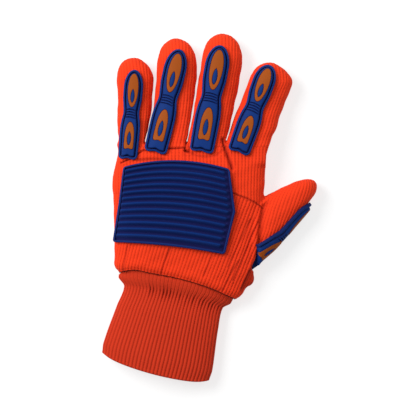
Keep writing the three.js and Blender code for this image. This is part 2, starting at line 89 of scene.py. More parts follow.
# Hand
HAND_LENGTH = 111.0
HAND_WIDTH = 120.0
HAND_THICK = 29.0
BASE_THICK = 24.0  # of the hand at the finger bases, and of every finger there
BASE_SQUARE = 5.0  # how square their section is there, where 2 is round
HAND_SQUARE = 2.8
WRIST_TILT = -0.2255
SEAM_BOW = 6.8
SEAM_RISE = {"at": -33.0, "by": 2.3, "over": 11.0}  # where the wrist seam stands over its bow
SEAM_DIP = 1.15  # how deep its thread lies under the skin
# The hand's edge at the wrist seam: how far it dips in, then rolls out, and over how much
HEM = {"dip": 1.1, "dip_over": 1.6, "roll": 0.5, "roll_at": 5.0, "roll_over": 3.0}
HAND_REACH = 0.617  # share of the width on the right at the finger bases

# Fingers: base width, length, sideways lean of the tip, thickness, place across the hand
FINGERS = {
    "little": {"width": 21.0, "length": 72.0, "lean": 0.4, "thick": 19.5, "start": -0.382},
    "ring": {"width": 32.4, "length": 87.2, "lean": 7.6, "thick": 21.0, "start": -0.2015},
    "middle": {"width": 30.8, "length": 90.8, "lean": 12.8, "thick": 21.5, "start": 0.071},
    "index": {"width": 34.2, "length": 67.6, "lean": 17.2, "thick": 21.5, "start": 0.331},
}
FINGER_SQUARE = 2.5
FINGER_GROWN = 0.45  # share of its length over which a finger takes its own section
FINGER_DOME = 0.74  # share of its length where the tip starts to close
TIP_SQUARE = 2.2
TIP_DROP = 0.25  # how far the tip's middle comes down, as a share of its half height
SPREAD = {"apart": 5.0, "over": 9.0}  # the fingers are held apart while their skin is made
# The slits between the fingers from their roots up, in pixels, and the least half width in millimetres
SLITS = (
    ((145.0, 144), (145.6, 140), (148.4, 130), (152.0, 110), (153.7, 90), (155.5, 75)),
    ((186.3, 144), (187.0, 140), (189.5, 130), (193.0, 110), (196.0, 90), (198.1, 75)),
    ((225.0, 144), (226.5, 140), (229.7, 130), (235.4, 110), (239.8, 100), (243, 90)),
)
SLIT_HALF = 0.8
# The hand's and the index finger's right edge, in pixels
INDEX_SIDE = ((265.5, 178), (265.5, 165), (266.2, 155), (269.5, 145), (274.5, 132))

# Thumb
THUMB = {"length": 63.2, "width": 37.0, "thick": 22.5, "turn": -53.0, "place": (62.4, 44.0)}
THUMB_DOME = 0.66
THUMB_LEFT = 0.8  # how much of its outline's shares its left half takes
# How far past the hand's outline the thumb's seam lies: at its side, and where it swings out at the
# heel and beside the index finger, so that both stay clear of it
THUMB_SEAM = {"side": 1.2, "heel": 13.0, "index": 8.0}
GUARD_TILT = {"base": 33.0, "tip": 6.0, "over": 0.75}  # of its guard, in degrees from the side

# Cuff
CUFF_LENGTH = 68.6
CUFF_WIDTH = 84.0
CUFF_THICK = 19.0
CUFF_TUCK = 3.2
CUFF_TILT = -0.035  # of the cuff's end, past the wrist's
CUFF_NIP = 2.2  # how far the corners of the cuff's end are rounded off
CUFF_BULGE = {"end": 5.5, "over": 4.0}  # where the bulge under the wrist seam turns into ribs
CUFF_NECK = {"at": 0.135, "over": 4.2}  # where the cuff is gathered, and over how much of it

# Rubber, heights over the fabric
GUARD_GAP = 0.55  # from the smooth skin to a guard's underside, which the cords fill
RIM_HEIGHT = 2.4
GROOVE_HEIGHT = 1.0
BODY_HEIGHT = 3.7
CROWN = 0.4  # how much higher a guard is along its middle
RIM_WIDTH = 1.75
GROOVE_WIDTH = 0.75
SHOULDER = 1.0  # width of the body's rounded edge
GUARD_WRAP = 3.6  # how far below its middle a guard's edge may lie
POCKET_FLOOR = 2.0
PAD_RISE = 0.25
PAD_GAP = 0.28
# Grooves across a guard's waist, with their middle as a share of its length
FLEX = {"count": 4, "pitch": 2.1, "radius": 0.68, "bow": 0.9, "at": 0.5}

# Knuckle plate
PLATE_RIBS = 12
PLATE_RIM = 3.2
PLATE_RIDGE = 4.4
PLATE_VALLEY = 1.5
PLATE_WRAP = 10.0  # how far below the hand's top the plate's edge may lie
PLATE_GAP = 0.6
PLATE_TALL = 66.0
PLATE_WIDE = 90.0
PLATE_CORNER = 2.4  # radius
PLATE_BORDER = 2.75  # from the plate's edge to its field of ridges
RIDGE_TOP = 0.24  # where a ridge is highest, as a share of its width from its upper edge

# Making the rubber
CUTTER_TOP = 9.0  # a height over every piece, where its cutters end
# Spacing of the cuts that let a flat piece bend, their first place along and last across
SLICE = {"along": 2.2, "from": 2.0, "across": 1.65, "side": 8.25}
RAY_HEIGHT = 80.0


def table(columns, rows):
    """A table with named columns."""
    return {name: np.array([row[i] for row in rows]) for i, name in enumerate(columns.split())}


# Outlines seen from above: shares of the length along, and of the base width to either side.
OUTLINES = {
    "little": table("at left right", [
        (0, 0.5, 0.5), (0.19, 0.53, 0.6), (0.41, 0.54, 0.72),
        (0.63, 0.563, 0.77), (0.77, 0.585, 0.815), (1, 0.6, 0.61),
    ]),
    "ring": table("at left right", [
        (0, 0.497, 0.503), (0.156, 0.415, 0.54), (0.34, 0.38, 0.588), (0.52, 0.39, 0.6),
        (0.66, 0.388, 0.607), (0.8, 0.395, 0.565), (1, 0.45, 0.46),
    ]),
    "middle": table("at left right", [
        (0, 0.5, 0.5), (0.15, 0.47, 0.517), (0.33, 0.465, 0.571), (0.5, 0.452, 0.626),
        (0.63, 0.434, 0.62), (0.77, 0.425, 0.637), (1, 0.51, 0.54),
    ]),
    "index": table("at left right", [
        (0, 0.5, 0.5), (0.2, 0.475, 0.571), (0.38, 0.456, 0.583), (0.56, 0.405, 0.632),
        (0.675, 0.375, 0.66), (0.77, 0.345, 0.69), (1, 0.395, 0.41),
    ]),
    "thumb": table("at left right", [
        (-0.38, 0.46, 0.53), (-0.22, 0.5, 0.54), (0.04, 0.555, 0.5), (0.19, 0.565, 0.446),
        (0.37, 0.555, 0.38), (0.48, 0.525, 0.335), (0.63, 0.47, 0.28), (0.75, 0.415, 0.235),
        (1, 0.345, 0.2),
    ]),
}
HAND_OUTLINE = table("at left right thick tilt bow", [
    (0, 0.387, 0.403, 0.78, 1, 1),
    (0.06, 0.408, 0.458, 0.83, 0.9, 0.85),
    (0.14, 0.407, 0.51, 0.89, 0.72, 0.6),
    (0.27, 0.408, 0.535, 0.96, 0.45, 0.3),
    (0.45, 0.41, 0.545, 1, 0.22, 0.1),
    (0.64, 0.417, 0.575, 1, 0.1, 0),
    (0.77, 0.422, 0.593, 0.98, 0, 0),
    (0.88, 0.397, 0.589, 0.92, 0, 0),
    (1, 0.382, HAND_REACH, BASE_THICK / HAND_THICK, 0, 0),
])
CUFF_OUTLINE = table("at left right thick bow", [
    (0.028, 0.557, 0.553, 1.12, 0.94),
    (0.065, 0.55, 0.543, 1.08, 0.72),
    (0.135, 0.487, 0.483, 0.96, 0.35),
    (0.38, 0.512, 0.485, 1.06, 0.05),
    (0.85, 0.56, 0.518, 1.14, -0.1),
    (1, 0.553, 0.507, 1.1, -0.5),
])

# Guards: shares of the finger's base width across and of its length along, and the broad end's width
GUARDS = {
    "little": {"base": (-0.145, -0.142), "tip": (0.11, 0.851), "width": 15.4},
    "ring": {"base": (-0.25, -0.0565), "tip": (0.133, 0.89), "width": 18.3},
    "middle": {"base": (-0.1, -0.05), "tip": (0.013, 0.889), "width": 19.4},
    "index": {"base": (-0.175, -0.075), "tip": (0.045, 0.966), "width": 18.0},
    "thumb": {"base": (0.0, -0.33), "tip": (0.0, 0.785), "width": 18.0},
}
GUARD_OUTLINE = table("at half", [
    (0, 0.99), (0.2, 1.04), (0.34, 1.045), (0.43, 0.97), (0.52, 0.83),
    (0.6, 0.9), (0.67, 0.98), (0.75, 1), (0.84, 1), (1, 0.95),
])
GUARD_TIP = 0.2  # share of the length that the round tip takes up
GUARD_CORNER = 3.5  # radius of the foot's corners
GUARD_WAVE = 1.0  # depth of the notch in the foot, and how far up its wave fades out
GUARD_WAVE_OVER = 9.0
THUMB_TUCK = 8.0  # how deep the foot of the thumb's guard goes under the hand's edge
HAND_EDGE = 64.5  # where that edge lies in the drawing
# Pads: middle and half length as shares of the guard's length, half width as a share of the guard's,
# narrowing towards the tip, squareness and notch of the foot, and the same for the pad's window
PADS = {
    "tip": {"at": 0.768, "long": 0.186, "wide": 0.53, "taper": 0.08, "square": 2.0, "wave": 0.0,
            "hole": 0.706, "hole_long": 0.0765},
    "base": {"at": 0.265, "long": 0.151, "wide": 0.475, "taper": -0.03, "square": 9.0, "wave": 0.8,
             "hole": 0.2325, "hole_long": 0.0765},
}
THUMB_PADS = {"tip": PADS["tip"], "base": {**PADS["base"], "at": 0.325, "hole": 0.295}}
PAD_HOLE_WIDE = 0.215

# The plate's edges: shares of the hand's width across and of its length along
PLATE_SIDES = table("at left_x left_y right_x right_y bow", [
    (0, -0.349, 0.857, 0.357, 0.841, 0.055),
    (0.5, -0.38, 0.6, 0.394, 0.535, 0.04),
    (1, -0.421, 0.317, 0.325, 0.229, 0.018),
])

# The photograph's scale in millimetres a pixel, its size, and the pixel of the drawing's origin
PIXEL = 0.8
ORIGIN_PIXEL = (176.0, 286.0)
IMAGE = 416
# Creases and sewn seams of the back, in pixels: depth and half width in millimetres, then points. The
# depth also sets how much painted shade each gets
CREASES = {
    "index_seam": (0.9, 0.55, ((230, 192), (241.4, 196.6), (246.8, 198.4), (255.7, 202.9), (262, 208))),
    "index_fold": (1.9, 1.3, ((223, 140), (224.5, 147), (227, 154), (229.5, 161), (232, 169))),
    "middle_crack": (1.4, 0.7, ((187, 140), (185.6, 146), (185, 151))),
    "middle_split": (0.5, 0.6, ((185, 151), (185.2, 156), (185.4, 161))),
    "middle_hole": (2.4, 1.0, ((185.5, 151), (188.5, 152))),
    "middle_base": (0.4, 1.0, ((189, 152), (197, 156), (206, 157.5), (216, 156), (224, 150))),
    "ring_seam": (
        1.2, 0.6,
        ((121, 163.5), (130, 159.5), (137, 155), (143, 151), (160, 149.3), (185, 148.6)),
    ),
    "plate_fold": (0.7, 1.2, ((139, 160.5), (150, 159.6), (164, 159.6))),
    "left_crease": (0.5, 0.6, ((128, 246), (126, 257), (124.4, 265), (123, 273))),
    "middle_crease": (0.6, 0.7, ((171, 247), (168, 255), (164, 264), (161.5, 274))),
    "right_crease": (0.5, 0.8, ((238.4, 261), (231, 274), (222.8, 290))),
    "low_crease": (0.4, 0.8, ((212.7, 256), (208, 266), (203.8, 276))),
    "long_crease": (
        0.55, 0.7,
        ((258.3, 221.7), (252.5, 233.3), (247.5, 246.7), (237.5, 270), (233.3, 280)),
    ),
    "side_crease": (0.45, 0.7, ((250, 220), (241.7, 238.3), (233.3, 255), (228.3, 266.7))),
}
# The edge of the upper layer over the fold of the heel, from the wrist up, and the fold's fullest place
HEEL_EDGE = ((238.5, 294), (240.8, 288.3), (245.8, 276.7), (250, 267.5), (255, 256))
HEEL_FOLD = {"at": (250.0, 281.0), "bulge": 3.6, "over": 6.0, "step": 1.3}
# The step from the hand's edge down to the thumb, with a lip over it
THUMB_STEP = {"depth": 2.3, "lip": 0.7, "over": 6.0}
# Where the seam of the back's lower panel begins, and how it slopes
LOWER_PANEL = {"corner": (233, 193.5), "slope": 0.46}


def to_drawing(pixel):
    """A point of the drawing under a pixel of the photograph."""
    return (pixel[0] - ORIGIN_PIXEL[0]) * PIXEL, (ORIGIN_PIXEL[1] - pixel[1]) * PIXEL


def line_of(pixels):
    """Points of the drawing under a line of pixels."""
    return np.array([to_drawing(pixel) for pixel in pixels])


def frame_offset():
    """Where the drawing's origin lies in the frame, in millimetres."""
    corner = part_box("hand_body")[1] / MM
    return np.array([corner.x - HAND_REACH * HAND_WIDTH, corner.y - HAND_LENGTH, 0.0])


OFFSET = frame_offset()


def smooth(rows, at, column):
    """The value of a table's column on a smooth curve through its rows."""
    xs, ys = rows["at"], rows[column]
    slope = np.gradient(ys, xs)
    slope[1:-1] = (ys[2:] - ys[:-2]) / (xs[2:] - xs[:-2])
    i = np.clip(np.searchsorted(xs, at, side="right") - 1, 0, len(xs) - 2)
    span = xs[i + 1] - xs[i]
    t = (at - xs[i]) / span
    bend = slope[i] * (1 - t) ** 2 * t - slope[i + 1] * t * t * (1 - t)
    return ys[i] * (1 + 2 * t) * (1 - t) ** 2 + ys[i + 1] * t * t * (3 - 2 * t) + bend * span


def power(x, exponent):
    """A power that keeps the sign."""
    return np.sign(x) * np.abs(x) ** exponent


def ease(x):
    """A smooth step from 0 to 1."""
    x = np.clip(x, 0, 1)
    return x * x * (3 - 2 * x)


class Tube:
    """A tube of cloth lying along its own direction; shape() gives its edges at a distance along it."""

    def __init__(self, place, turn, end, shape, dome=None):
        self.place = np.array(place, float)
        self.turn = turn
        self.end = end
        self.shape = shape
        self.dome = dome

    def section(self, along, inset=0.0, domed=True):
        """Middle, half width, centre height, half height, squareness, tilt and bow of a section."""
        along = np.asarray(along, float)
        left, right, thick, square, tilt, bow = self.shape(along)
        close = np.ones_like(along)
        if self.dome is not None and domed:
            round_off = np.clip((along - self.dome) / (self.end - inset - self.dome), 0, 1)
            close = (1 - round_off**TIP_SQUARE) ** (1 / TIP_SQUARE)
        half = (thick + SINK) / 2
        across = ((right - left) / 2 - inset) * close
        centre = thick / 2 - SINK / 2 - (1 - close) * half * TIP_DROP
        return (left + right) / 2, across, centre, (half - inset) * close, square, tilt, bow

    def drawing(self, u, v, z):
        """Points of the drawing from the tube's own directions."""
        c, s = math.cos(self.turn), math.sin(self.turn)
        u, v, z = np.broadcast_arrays(u, v, z)
        x = self.place[0] + u * c - v * s
        return np.stack([x, self.place[1] + u * s + v * c, z], -1)

    def own(self, points):
        """The tube's own directions from points of the drawing."""
        c, s = math.cos(self.turn), math.sin(self.turn)
        dx, dy = points[:, 0] - self.place[0], points[:, 1] - self.place[1]
        return dx * c + dy * s, dy * c - dx * s, points[:, 2]

    def ring(self, along, inset, angles):
        """One ring of points round the tube, flat where it rests."""
        middle, across, centre, upright, square, tilt, bow = self.section(along, inset)
        u = across * power(np.cos(angles), 2 / square)
        z = centre + upright * power(np.sin(angles), 2 / square)
        v = along + tilt * u + bow * (1 - (u / max(across, 1e-6)) ** 2)
        return self.drawing(middle + u, v, np.maximum(z, inset))


def finger_tube(name):
    """The tube of one finger, from the finger seam."""
    f = FINGERS[name]

    def shape(along):
        at = np.maximum(along, 0) / f["length"]
        lean = f["lean"] * at
        grown = np.clip(at / FINGER_GROWN, 0, 1)
        left = lean - f["width"] * smooth(OUTLINES[name], at, "left")
        right = lean + f["width"] * smooth(OUTLINES[name], at, "right")
        thick = BASE_THICK + (f["thick"] - BASE_THICK) * grown
        square = BASE_SQUARE + (FINGER_SQUARE - BASE_SQUARE) * grown
        return left, right, thick, square, 0 * at, 0 * at

    place = (f["start"] * HAND_WIDTH + f["width"] / 2, HAND_LENGTH + SEAM_GAP)
    return Tube(place, 0.0, f["length"], shape, f["length"] * FINGER_DOME)


def thumb_shape(along):
    at = along / THUMB["length"]
    left = -THUMB["width"] * THUMB_LEFT * smooth(OUTLINES["thumb"], at, "left")
    right = THUMB["width"] * smooth(OUTLINES["thumb"], at, "right")
    return left, right, THUMB["thick"] + 0 * at, FINGER_SQUARE + 0 * at, 0 * at, 0 * at


def hand_shape(along):
    at = np.clip(along, 0, HAND_LENGTH) / HAND_LENGTH
    ends = np.maximum(0, (at - 0.8) / 0.2)
    left = -HAND_WIDTH * smooth(HAND_OUTLINE, at, "left")
    right = HAND_WIDTH * smooth(HAND_OUTLINE, at, "right")
    thick = HAND_THICK * smooth(HAND_OUTLINE, at, "thick")
    tilt = WRIST_TILT * smooth(HAND_OUTLINE, at, "tilt")
    square = HAND_SQUARE + (BASE_SQUARE - HAND_SQUARE) * ends
    return left, right, thick, square, tilt, SEAM_BOW * smooth(HAND_OUTLINE, at, "bow")


def cuff_shape(along):
    """The cuff's tube runs towards -Y, so that its left is the table's right."""
    at = along / CUFF_LENGTH
    left = -CUFF_WIDTH * smooth(CUFF_OUTLINE, at, "right")
    right = CUFF_WIDTH * smooth(CUFF_OUTLINE, at, "left")
    thick = CUFF_THICK * smooth(CUFF_OUTLINE, at, "thick")
    tilt = CUFF_TILT * np.clip(at, 0, 1) ** 2
    return left, right, thick, 2.0 + 0 * at, tilt, -SEAM_BOW * smooth(CUFF_OUTLINE, at, "bow")


STALLS = {name: finger_tube(name) for name in FINGERS}
STALLS["thumb"] = Tube(
    THUMB["place"], math.radians(THUMB["turn"]), THUMB["length"], thumb_shape,
    THUMB["length"] * THUMB_DOME,
)
HAND = Tube((0, 0), 0.0, HAND_LENGTH, hand_shape)
CUFF = Tube((0, 0), math.pi - math.atan(-WRIST_TILT), CUFF_LENGTH, cuff_shape)


def along_hand(x, y):
    """How far along the hand a point of the drawing lies, past its tilted and bowed rows."""
    along = np.clip(y, 0, HAND_LENGTH)
    for _ in range(8):
        middle, across, _, _, _, tilt, bow = HAND.section(along)
        share = np.clip(np.abs((x - middle) / across), 0, 1)
        along = np.clip(y - tilt * (x - middle) - bow * (1 - share**2), 0, HAND_LENGTH)
    return along


def seam_rise(x):
    return SEAM_RISE["by"] * np.exp(-(((x - SEAM_RISE["at"]) / SEAM_RISE["over"]) ** 2))


def wrist_line(x):
    """Height of the wrist seam in the drawing."""
    middle, across, *_, tilt, bow = HAND.section(0.0)
    share = np.clip((x - middle) / across, -1, 1)
    return tilt * (x - middle) + bow * (1 - share**2) + seam_rise(x)


def thumb_line(y):
    """How far right the hand reaches, where the thumb is sewn to its side."""
    at = np.clip(y / HAND_LENGTH, 0, 1)
    heel = THUMB_SEAM["heel"] * ease((16 - y) / 13)
    index = THUMB_SEAM["index"] * ease((y - 62) / 14)
    return HAND_WIDTH * smooth(HAND_OUTLINE, at, "right") + THUMB_SEAM["side"] + heel + index


# Helpers for meshes


def deselect():
    """Leaves edit mode and selects nothing."""
    if bpy.context.object and bpy.context.object.mode != "OBJECT":
        bpy.ops.object.mode_set(mode="OBJECT")
    bpy.ops.object.select_all(action="DESELECT")


def select(obj):
    deselect()
    obj.select_set(True)
    bpy.context.view_layer.objects.active = obj
    return obj


def placed(name, data):
    """A new object in the scene for a mesh, a lamp or a camera."""
    obj = bpy.data.objects.new(name, data)
    bpy.context.scene.collection.objects.link(obj)
    return obj


def new_object(name, points, faces):
    """A mesh object from points and faces."""
    mesh = bpy.data.meshes.new(name)
    mesh.from_pydata(np.asarray(points).tolist(), [], faces)
    return placed(name, mesh)


@contextlib.contextmanager
def editing(obj):
    """An object's mesh to edit in code, put back at the end."""
    mesh = bmesh.new()
    mesh.from_mesh(obj.data)
    yield mesh
    mesh.to_mesh(obj.data)
    mesh.free()


def face_outwards(obj):
    select(obj)
    bpy.ops.object.mode_set(mode="EDIT")
    bpy.ops.mesh.select_all(action="SELECT")
    bpy.ops.mesh.normals_make_consistent(inside=False)
    bpy.ops.object.mode_set(mode="OBJECT")


def apply_modifier(obj, kind, **settings):
    """Adds a modifier and applies it."""
    select(obj)
    modifier = obj.modifiers.new(kind.lower(), kind)
    for name, value in settings.items():
        setattr(modifier, name, value)
    bpy.ops.object.modifier_apply(modifier=modifier.name)


def delete(obj):
    bpy.data.meshes.remove(obj.data)


def coordinates(mesh):
    co = np.empty(len(mesh.vertices) * 3)
    mesh.vertices.foreach_get("co", co)
    return co.reshape(-1, 3)


def normals(mesh):
    found = np.empty(len(mesh.vertices) * 3)
    mesh.vertex_normals.foreach_get("vector", found)
    return found.reshape(-1, 3)


def edges_of(mesh):
    pairs = np.empty(len(mesh.edges) * 2, np.int64)
    mesh.edges.foreach_get("vertices", pairs)
    return pairs.reshape(-1, 2)


def set_coordinates(mesh, co):
    mesh.vertices.foreach_set("co", np.asarray(co, np.float32).ravel())
    mesh.update()


def relax(co, edges, times):
    """Moves every point half way to the mean of its neighbours, some times over."""
    count = len(co)
    a, b = edges[:, 0], edges[:, 1]
    degree = np.bincount(edges.ravel(), minlength=count)[:, None]
    for _ in range(times):
        total = np.stack([
            np.bincount(a, co[b, k], count) + np.bincount(b, co[a, k], count) for k in range(3)
        ], 1)
        co = co + 0.5 * (total / degree - co)
    return co


def loft(rings, closed):
    """Points and quads through rings of equal count, either closed on itself or capped."""
    count = len(rings[0])
    points = np.concatenate(rings)
    faces = []
    for i in range(len(rings) - (0 if closed else 1)):
        a, b = i * count, (i + 1) % len(rings) * count
        for k in range(count):
            n = (k + 1) % count
            faces.append((a + k, b + k, b + n, a + n))
    if not closed:
        last = len(points) - count
        faces += [tuple(range(count)), tuple(range(last + count - 1, last - 1, -1))]
    return points, faces


def set_floats(mesh, name, values):
    """A number for each vertex, for the materials to read."""
    attribute = mesh.attributes.new(name, "FLOAT", "POINT")
    attribute.data.foreach_set("value", np.asarray(values, np.float32))


def set_ribs(mesh, ribs, rows):
    """A UV map that counts ribs across the knit and rows along it."""
    corners = np.empty(len(mesh.loops), np.int64)
    mesh.loops.foreach_get("vertex_index", corners)
    layer = mesh.uv_layers.new(name="ribs")
    layer.uv.foreach_set("vector", np.stack([ribs, rows], -1)[corners].astype(np.float32).ravel())


def finish(obj, material, nodes, angle=None):
    """Sets a piece down in the frame, in metres, gives it its material, hangs it from the root and
    hides the parts that it replaces.
    """
    set_coordinates(obj.data, (coordinates(obj.data) + OFFSET) * MM)
    select(obj)
    if angle is None:
        bpy.ops.object.shade_smooth()
    else:
        bpy.ops.object.shade_smooth_by_angle(angle=math.radians(angle))
    obj.data.materials.clear()
    obj.data.materials.append(material)
    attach(obj, "root")
    if nodes:
        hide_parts(*nodes)
    return obj


# Settings


class KnitSettings(bpy.types.PropertyGroup):
    """The corded knit of the hand and the rib knit of the cuff."""

    pitch: FloatProperty(
        name="Cord pitch", description="Distance between two cords of the hand", default=0.0028,
        unit="LENGTH",
    )
    depth: FloatProperty(
        name="Cord depth", description="Depth of the furrows between cords", default=0.00034,
        unit="LENGTH",
    )
    row: FloatProperty(
        name="Stitch pitch", description="Distance between two stitches along a furrow",
        default=0.0024, unit="LENGTH",
    )
    cuff_ribs: IntProperty(name="Cuff ribs", description="Ribs round the cuff", default=64)
    cuff_depth: FloatProperty(
        name="Cuff rib depth", description="Depth of the furrows between the cuff's ribs",
        default=0.0006, unit="LENGTH",
    )
    colour: FloatVectorProperty(
        name="Hand", description="Colour of the hand's knit", subtype="COLOR", size=4,
        default=(0.76, 0.0405, 0.008, 1), min=0, max=1,
    )
    # Painted shade in the hand's furrows and creases, and the dark end of its random mottling
    shade: FloatVectorProperty(
        name="Furrows", description="Colour in the furrows of the hand's knit", subtype="COLOR",
        size=4, default=(0.34, 0.009, 0.008, 1), min=0, max=1,
    )
    cuff_colour: FloatVectorProperty(
        name="Cuff", description="Colour of the cuff's ribs", subtype="COLOR", size=4,
        default=(0.5, 0.031, 0.009, 1), min=0, max=1,
    )
    # Painted shade between the cuff's ribs and in its gathers, and the dark end of its random mottling
    cuff_shade: FloatVectorProperty(
        name="Cuff furrows", description="Colour between the cuff's ribs", subtype="COLOR", size=4,
        default=(0.2, 0.009, 0.007, 1), min=0, max=1,
    )


class RubberSettings(bpy.types.PropertyGroup):
    """The moulded guards, pads and knuckle plate."""

    colour: FloatVectorProperty(
        name="Guards", description="Colour of the raised rubber", subtype="COLOR", size=4,
        default=(0.0032, 0.0235, 0.134, 1), min=0, max=1,
    )
    # Painted shade in the grooves and low places of the guards and plate
    shade: FloatVectorProperty(
        name="Grooves", description="Colour down in the grooves", subtype="COLOR", size=4,
        default=(0.0105, 0.009, 0.068, 1), min=0, max=1,
    )
    pad_colour: FloatVectorProperty(
        name="Pads", description="Colour of the inset pads", subtype="COLOR", size=4,
        default=(0.265, 0.0565, 0.0065, 1), min=0, max=1,
    )
    roughness: FloatProperty(
        name="Roughness", description="Roughness of the rubber", default=0.62, min=0, max=1,
    )


class StageSettings(bpy.types.PropertyGroup):
    """The camera, the floor and the lights."""

    distance: FloatProperty(
        name="Camera distance", description="Height of the camera over the glove", default=1.8,
        unit="LENGTH",
    )
    floor: FloatProperty(name="Floor", description="Side of the floor", default=12.0, unit="LENGTH")
    key: FloatProperty(
        name="Key light", description="Power of the main light", default=23.0, unit="POWER",
    )
    fill: FloatProperty(
        name="Fill light", description="Power of the far light", default=6.0, unit="POWER",
    )
    sky: FloatProperty(
        name="Room light", description="Strength of the light all round", default=0.33,
    )
    glow: FloatProperty(
        name="Floor glow", description="How brightly the floor is lit from below", default=0.72,
    )


class GloveSettings(bpy.types.PropertyGroup):
    """All that can be set on the glove."""

    knit: PointerProperty(type=KnitSettings)
    rubber: PointerProperty(type=RubberSettings)
    stage: PointerProperty(type=StageSettings)


def settings():
    return bpy.context.scene.glove


# Materials


def node(tree, kind, inputs=None, **options):
    """Adds a node with its options, and gives its inputs values or links."""
    made = tree.nodes.new("ShaderNode" + kind)
    for name, value in options.items():
        setattr(made, name, value)
    for key, value in (inputs or {}).items():
        if isinstance(value, bpy.types.NodeSocket):
            tree.links.new(value, made.inputs[key])
        else:
            made.inputs[key].default_value = value
    return made


def calc(tree, operation, *values):
    return node(tree, "Math", dict(enumerate(values)), operation=operation).outputs[0]


def blend(tree, factor, a, b):
    """A colour between two others."""
    return node(tree, "Mix", {0: factor, 6: a, 7: b}, data_type="RGBA").outputs[2]


def attribute(tree, name):
    """The numbers that a piece's points carry."""
    return node(tree, "Attribute", attribute_name=name).outputs["Fac"]


def scaled(colour, times):
    """A colour made darker or paler."""
    return tuple(min(1.0, times * c) for c in colour[:3]) + (1.0,)


def noise(tree, where, scale, detail=2.0, roughness=0.5):
    inputs = {"Vector": where, "Scale": scale, "Detail": detail, "Roughness": roughness}
    return node(tree, "TexNoise", inputs).outputs["Fac"]


def new_material(name):
    material = bpy.data.materials.new(name)
    material.use_nodes = True
    tree = material.node_tree
    return material, tree, tree.nodes["Principled BSDF"]


def set_shader(shader, values):
    for name, value in values.items():
        shader.inputs[name].default_value = value


def add_bump(tree, shader, height, strength, distance):
    bump = node(tree, "Bump", {"Height": height, "Strength": strength, "Distance": distance})
    tree.links.new(bump.outputs[0], shader.inputs["Normal"])


@functools.cache
def knit_material(name, colour, shade, furrow, dotted):
    """Knit with ribs and stitches counted by the piece's own UV map: furrows as sharp as the power
    given, with painted shade in them as strong as its dots and its depth say, and painted shade in its
    creases."""
    material, tree, shader = new_material(name)
    uv = node(tree, "UVMap", uv_map="ribs").outputs[0]
    place = node(tree, "TexCoord").outputs["Object"]
    parts = node(tree, "SeparateXYZ", {0: uv})
    rib, row = parts.outputs["X"], parts.outputs["Y"]
    wander = calc(tree, "MULTIPLY", calc(tree, "SUBTRACT", noise(tree, place, 160.0), 0.5), 0.22)
    phase = calc(tree, "MULTIPLY", calc(tree, "ADD", rib, wander), math.pi)
    crest = calc(tree, "ABSOLUTE", calc(tree, "SINE", phase))
    groove = calc(tree, "POWER", calc(tree, "SUBTRACT", 1.0, crest), furrow)
    beat = calc(tree, "SINE", calc(tree, "MULTIPLY", row, 2 * math.pi))
    dots = calc(tree, "MULTIPLY_ADD", beat, 0.5 * dotted, 1 - 0.5 * dotted)
    deep, crease_shade = attribute(tree, "deep"), attribute(tree, "crease_shade")
    # Painted shade in the furrows between cords, broken up by the stitch dots and scaled by the deep
    # attribute
    dark = calc(tree, "MULTIPLY", calc(tree, "MULTIPLY", groove, dots), deep)
    broad = noise(tree, place, 28.0, 3.0)
    fine = noise(tree, place, 900.0, 3.0, 0.6)
    cloth = blend(tree, calc(tree, "MULTIPLY", broad, 0.16), colour, shade)
    tint = blend(tree, calc(tree, "MULTIPLY", fine, 0.3), cloth, scaled(colour, 1.25))
    # Mixes the painted furrow shade into the knit's colour
    furrowed = blend(tree, calc(tree, "MULTIPLY", dark, 0.9), tint, shade)
    # Painted shade in creases, seams, folds and gathers, darker than the furrows' shade
    final = blend(tree, calc(tree, "MULTIPLY", crease_shade, 0.75), furrowed, scaled(shade, 0.4))
    tree.links.new(final, shader.inputs["Base Color"])
    stagger = calc(tree, "MULTIPLY_ADD", crest, 2.4, calc(tree, "MULTIPLY", row, 4 * math.pi))
    loops = calc(tree, "SINE", stagger)
    cord = calc(tree, "SUBTRACT", crest, calc(tree, "MULTIPLY", dark, 0.8))
    height = calc(tree, "MULTIPLY_ADD", loops, 0.12, cord)
    height = calc(tree, "MULTIPLY_ADD", fine, 0.35, height)
    add_bump(tree, shader, height, 0.55, 0.0004)
    rough = calc(tree, "MULTIPLY_ADD", fine, 0.12, 0.84)
    tree.links.new(rough, shader.inputs["Roughness"])
    set_shader(shader, {
        "Specular IOR Level": 0.1, "Sheen Weight": 0.04, "Sheen Roughness": 0.5,
        "Sheen Tint": (1.0, 0.3, 0.15, 1),
    })
    return material


def hand_knit():
    knit = settings().knit
    return knit_material("hand_knit", tuple(knit.colour), tuple(knit.shade), 2.2, 0.7)


def cuff_knit():
    knit = settings().knit
    return knit_material("cuff_knit", tuple(knit.cuff_colour), tuple(knit.cuff_shade), 1.6, 0.85)


@functools.cache
def rubber_material(name, colour, shade, roughness):
    """Moulded rubber, with painted shade where its relief is low, and paler flecks on its heights."""
    material, tree, shader = new_material(name)
    place = node(tree, "TexCoord").outputs["Object"]
    broad = noise(tree, place, 45.0, 4.0)
    grain = noise(tree, place, 2400.0, 2.0, 0.6)
    uneven = calc(tree, "SUBTRACT", broad, 0.5)
    # Low relief takes the Grooves colour as painted shade, with broad random mottling
    level = calc(tree, "MULTIPLY_ADD", uneven, 0.35, attribute(tree, "relief"))
    level = node(tree, "Clamp", {0: level}).outputs[0]
    base = blend(tree, level, shade, colour)
    # Paler flecks of grain on the highest places
    paler_heights = calc(tree, "MULTIPLY", calc(tree, "POWER", level, 6.0), calc(tree, "MULTIPLY", grain, 0.5))
    final = blend(tree, paler_heights, base, scaled(colour, 1.35))
    tree.links.new(final, shader.inputs["Base Color"])
    add_bump(tree, shader, grain, 0.35, 0.0001)
    rough = calc(tree, "MULTIPLY_ADD", grain, 0.2, roughness - 0.1)
    tree.links.new(rough, shader.inputs["Roughness"])
    set_shader(shader, {"Specular IOR Level": 0.07})
    return material


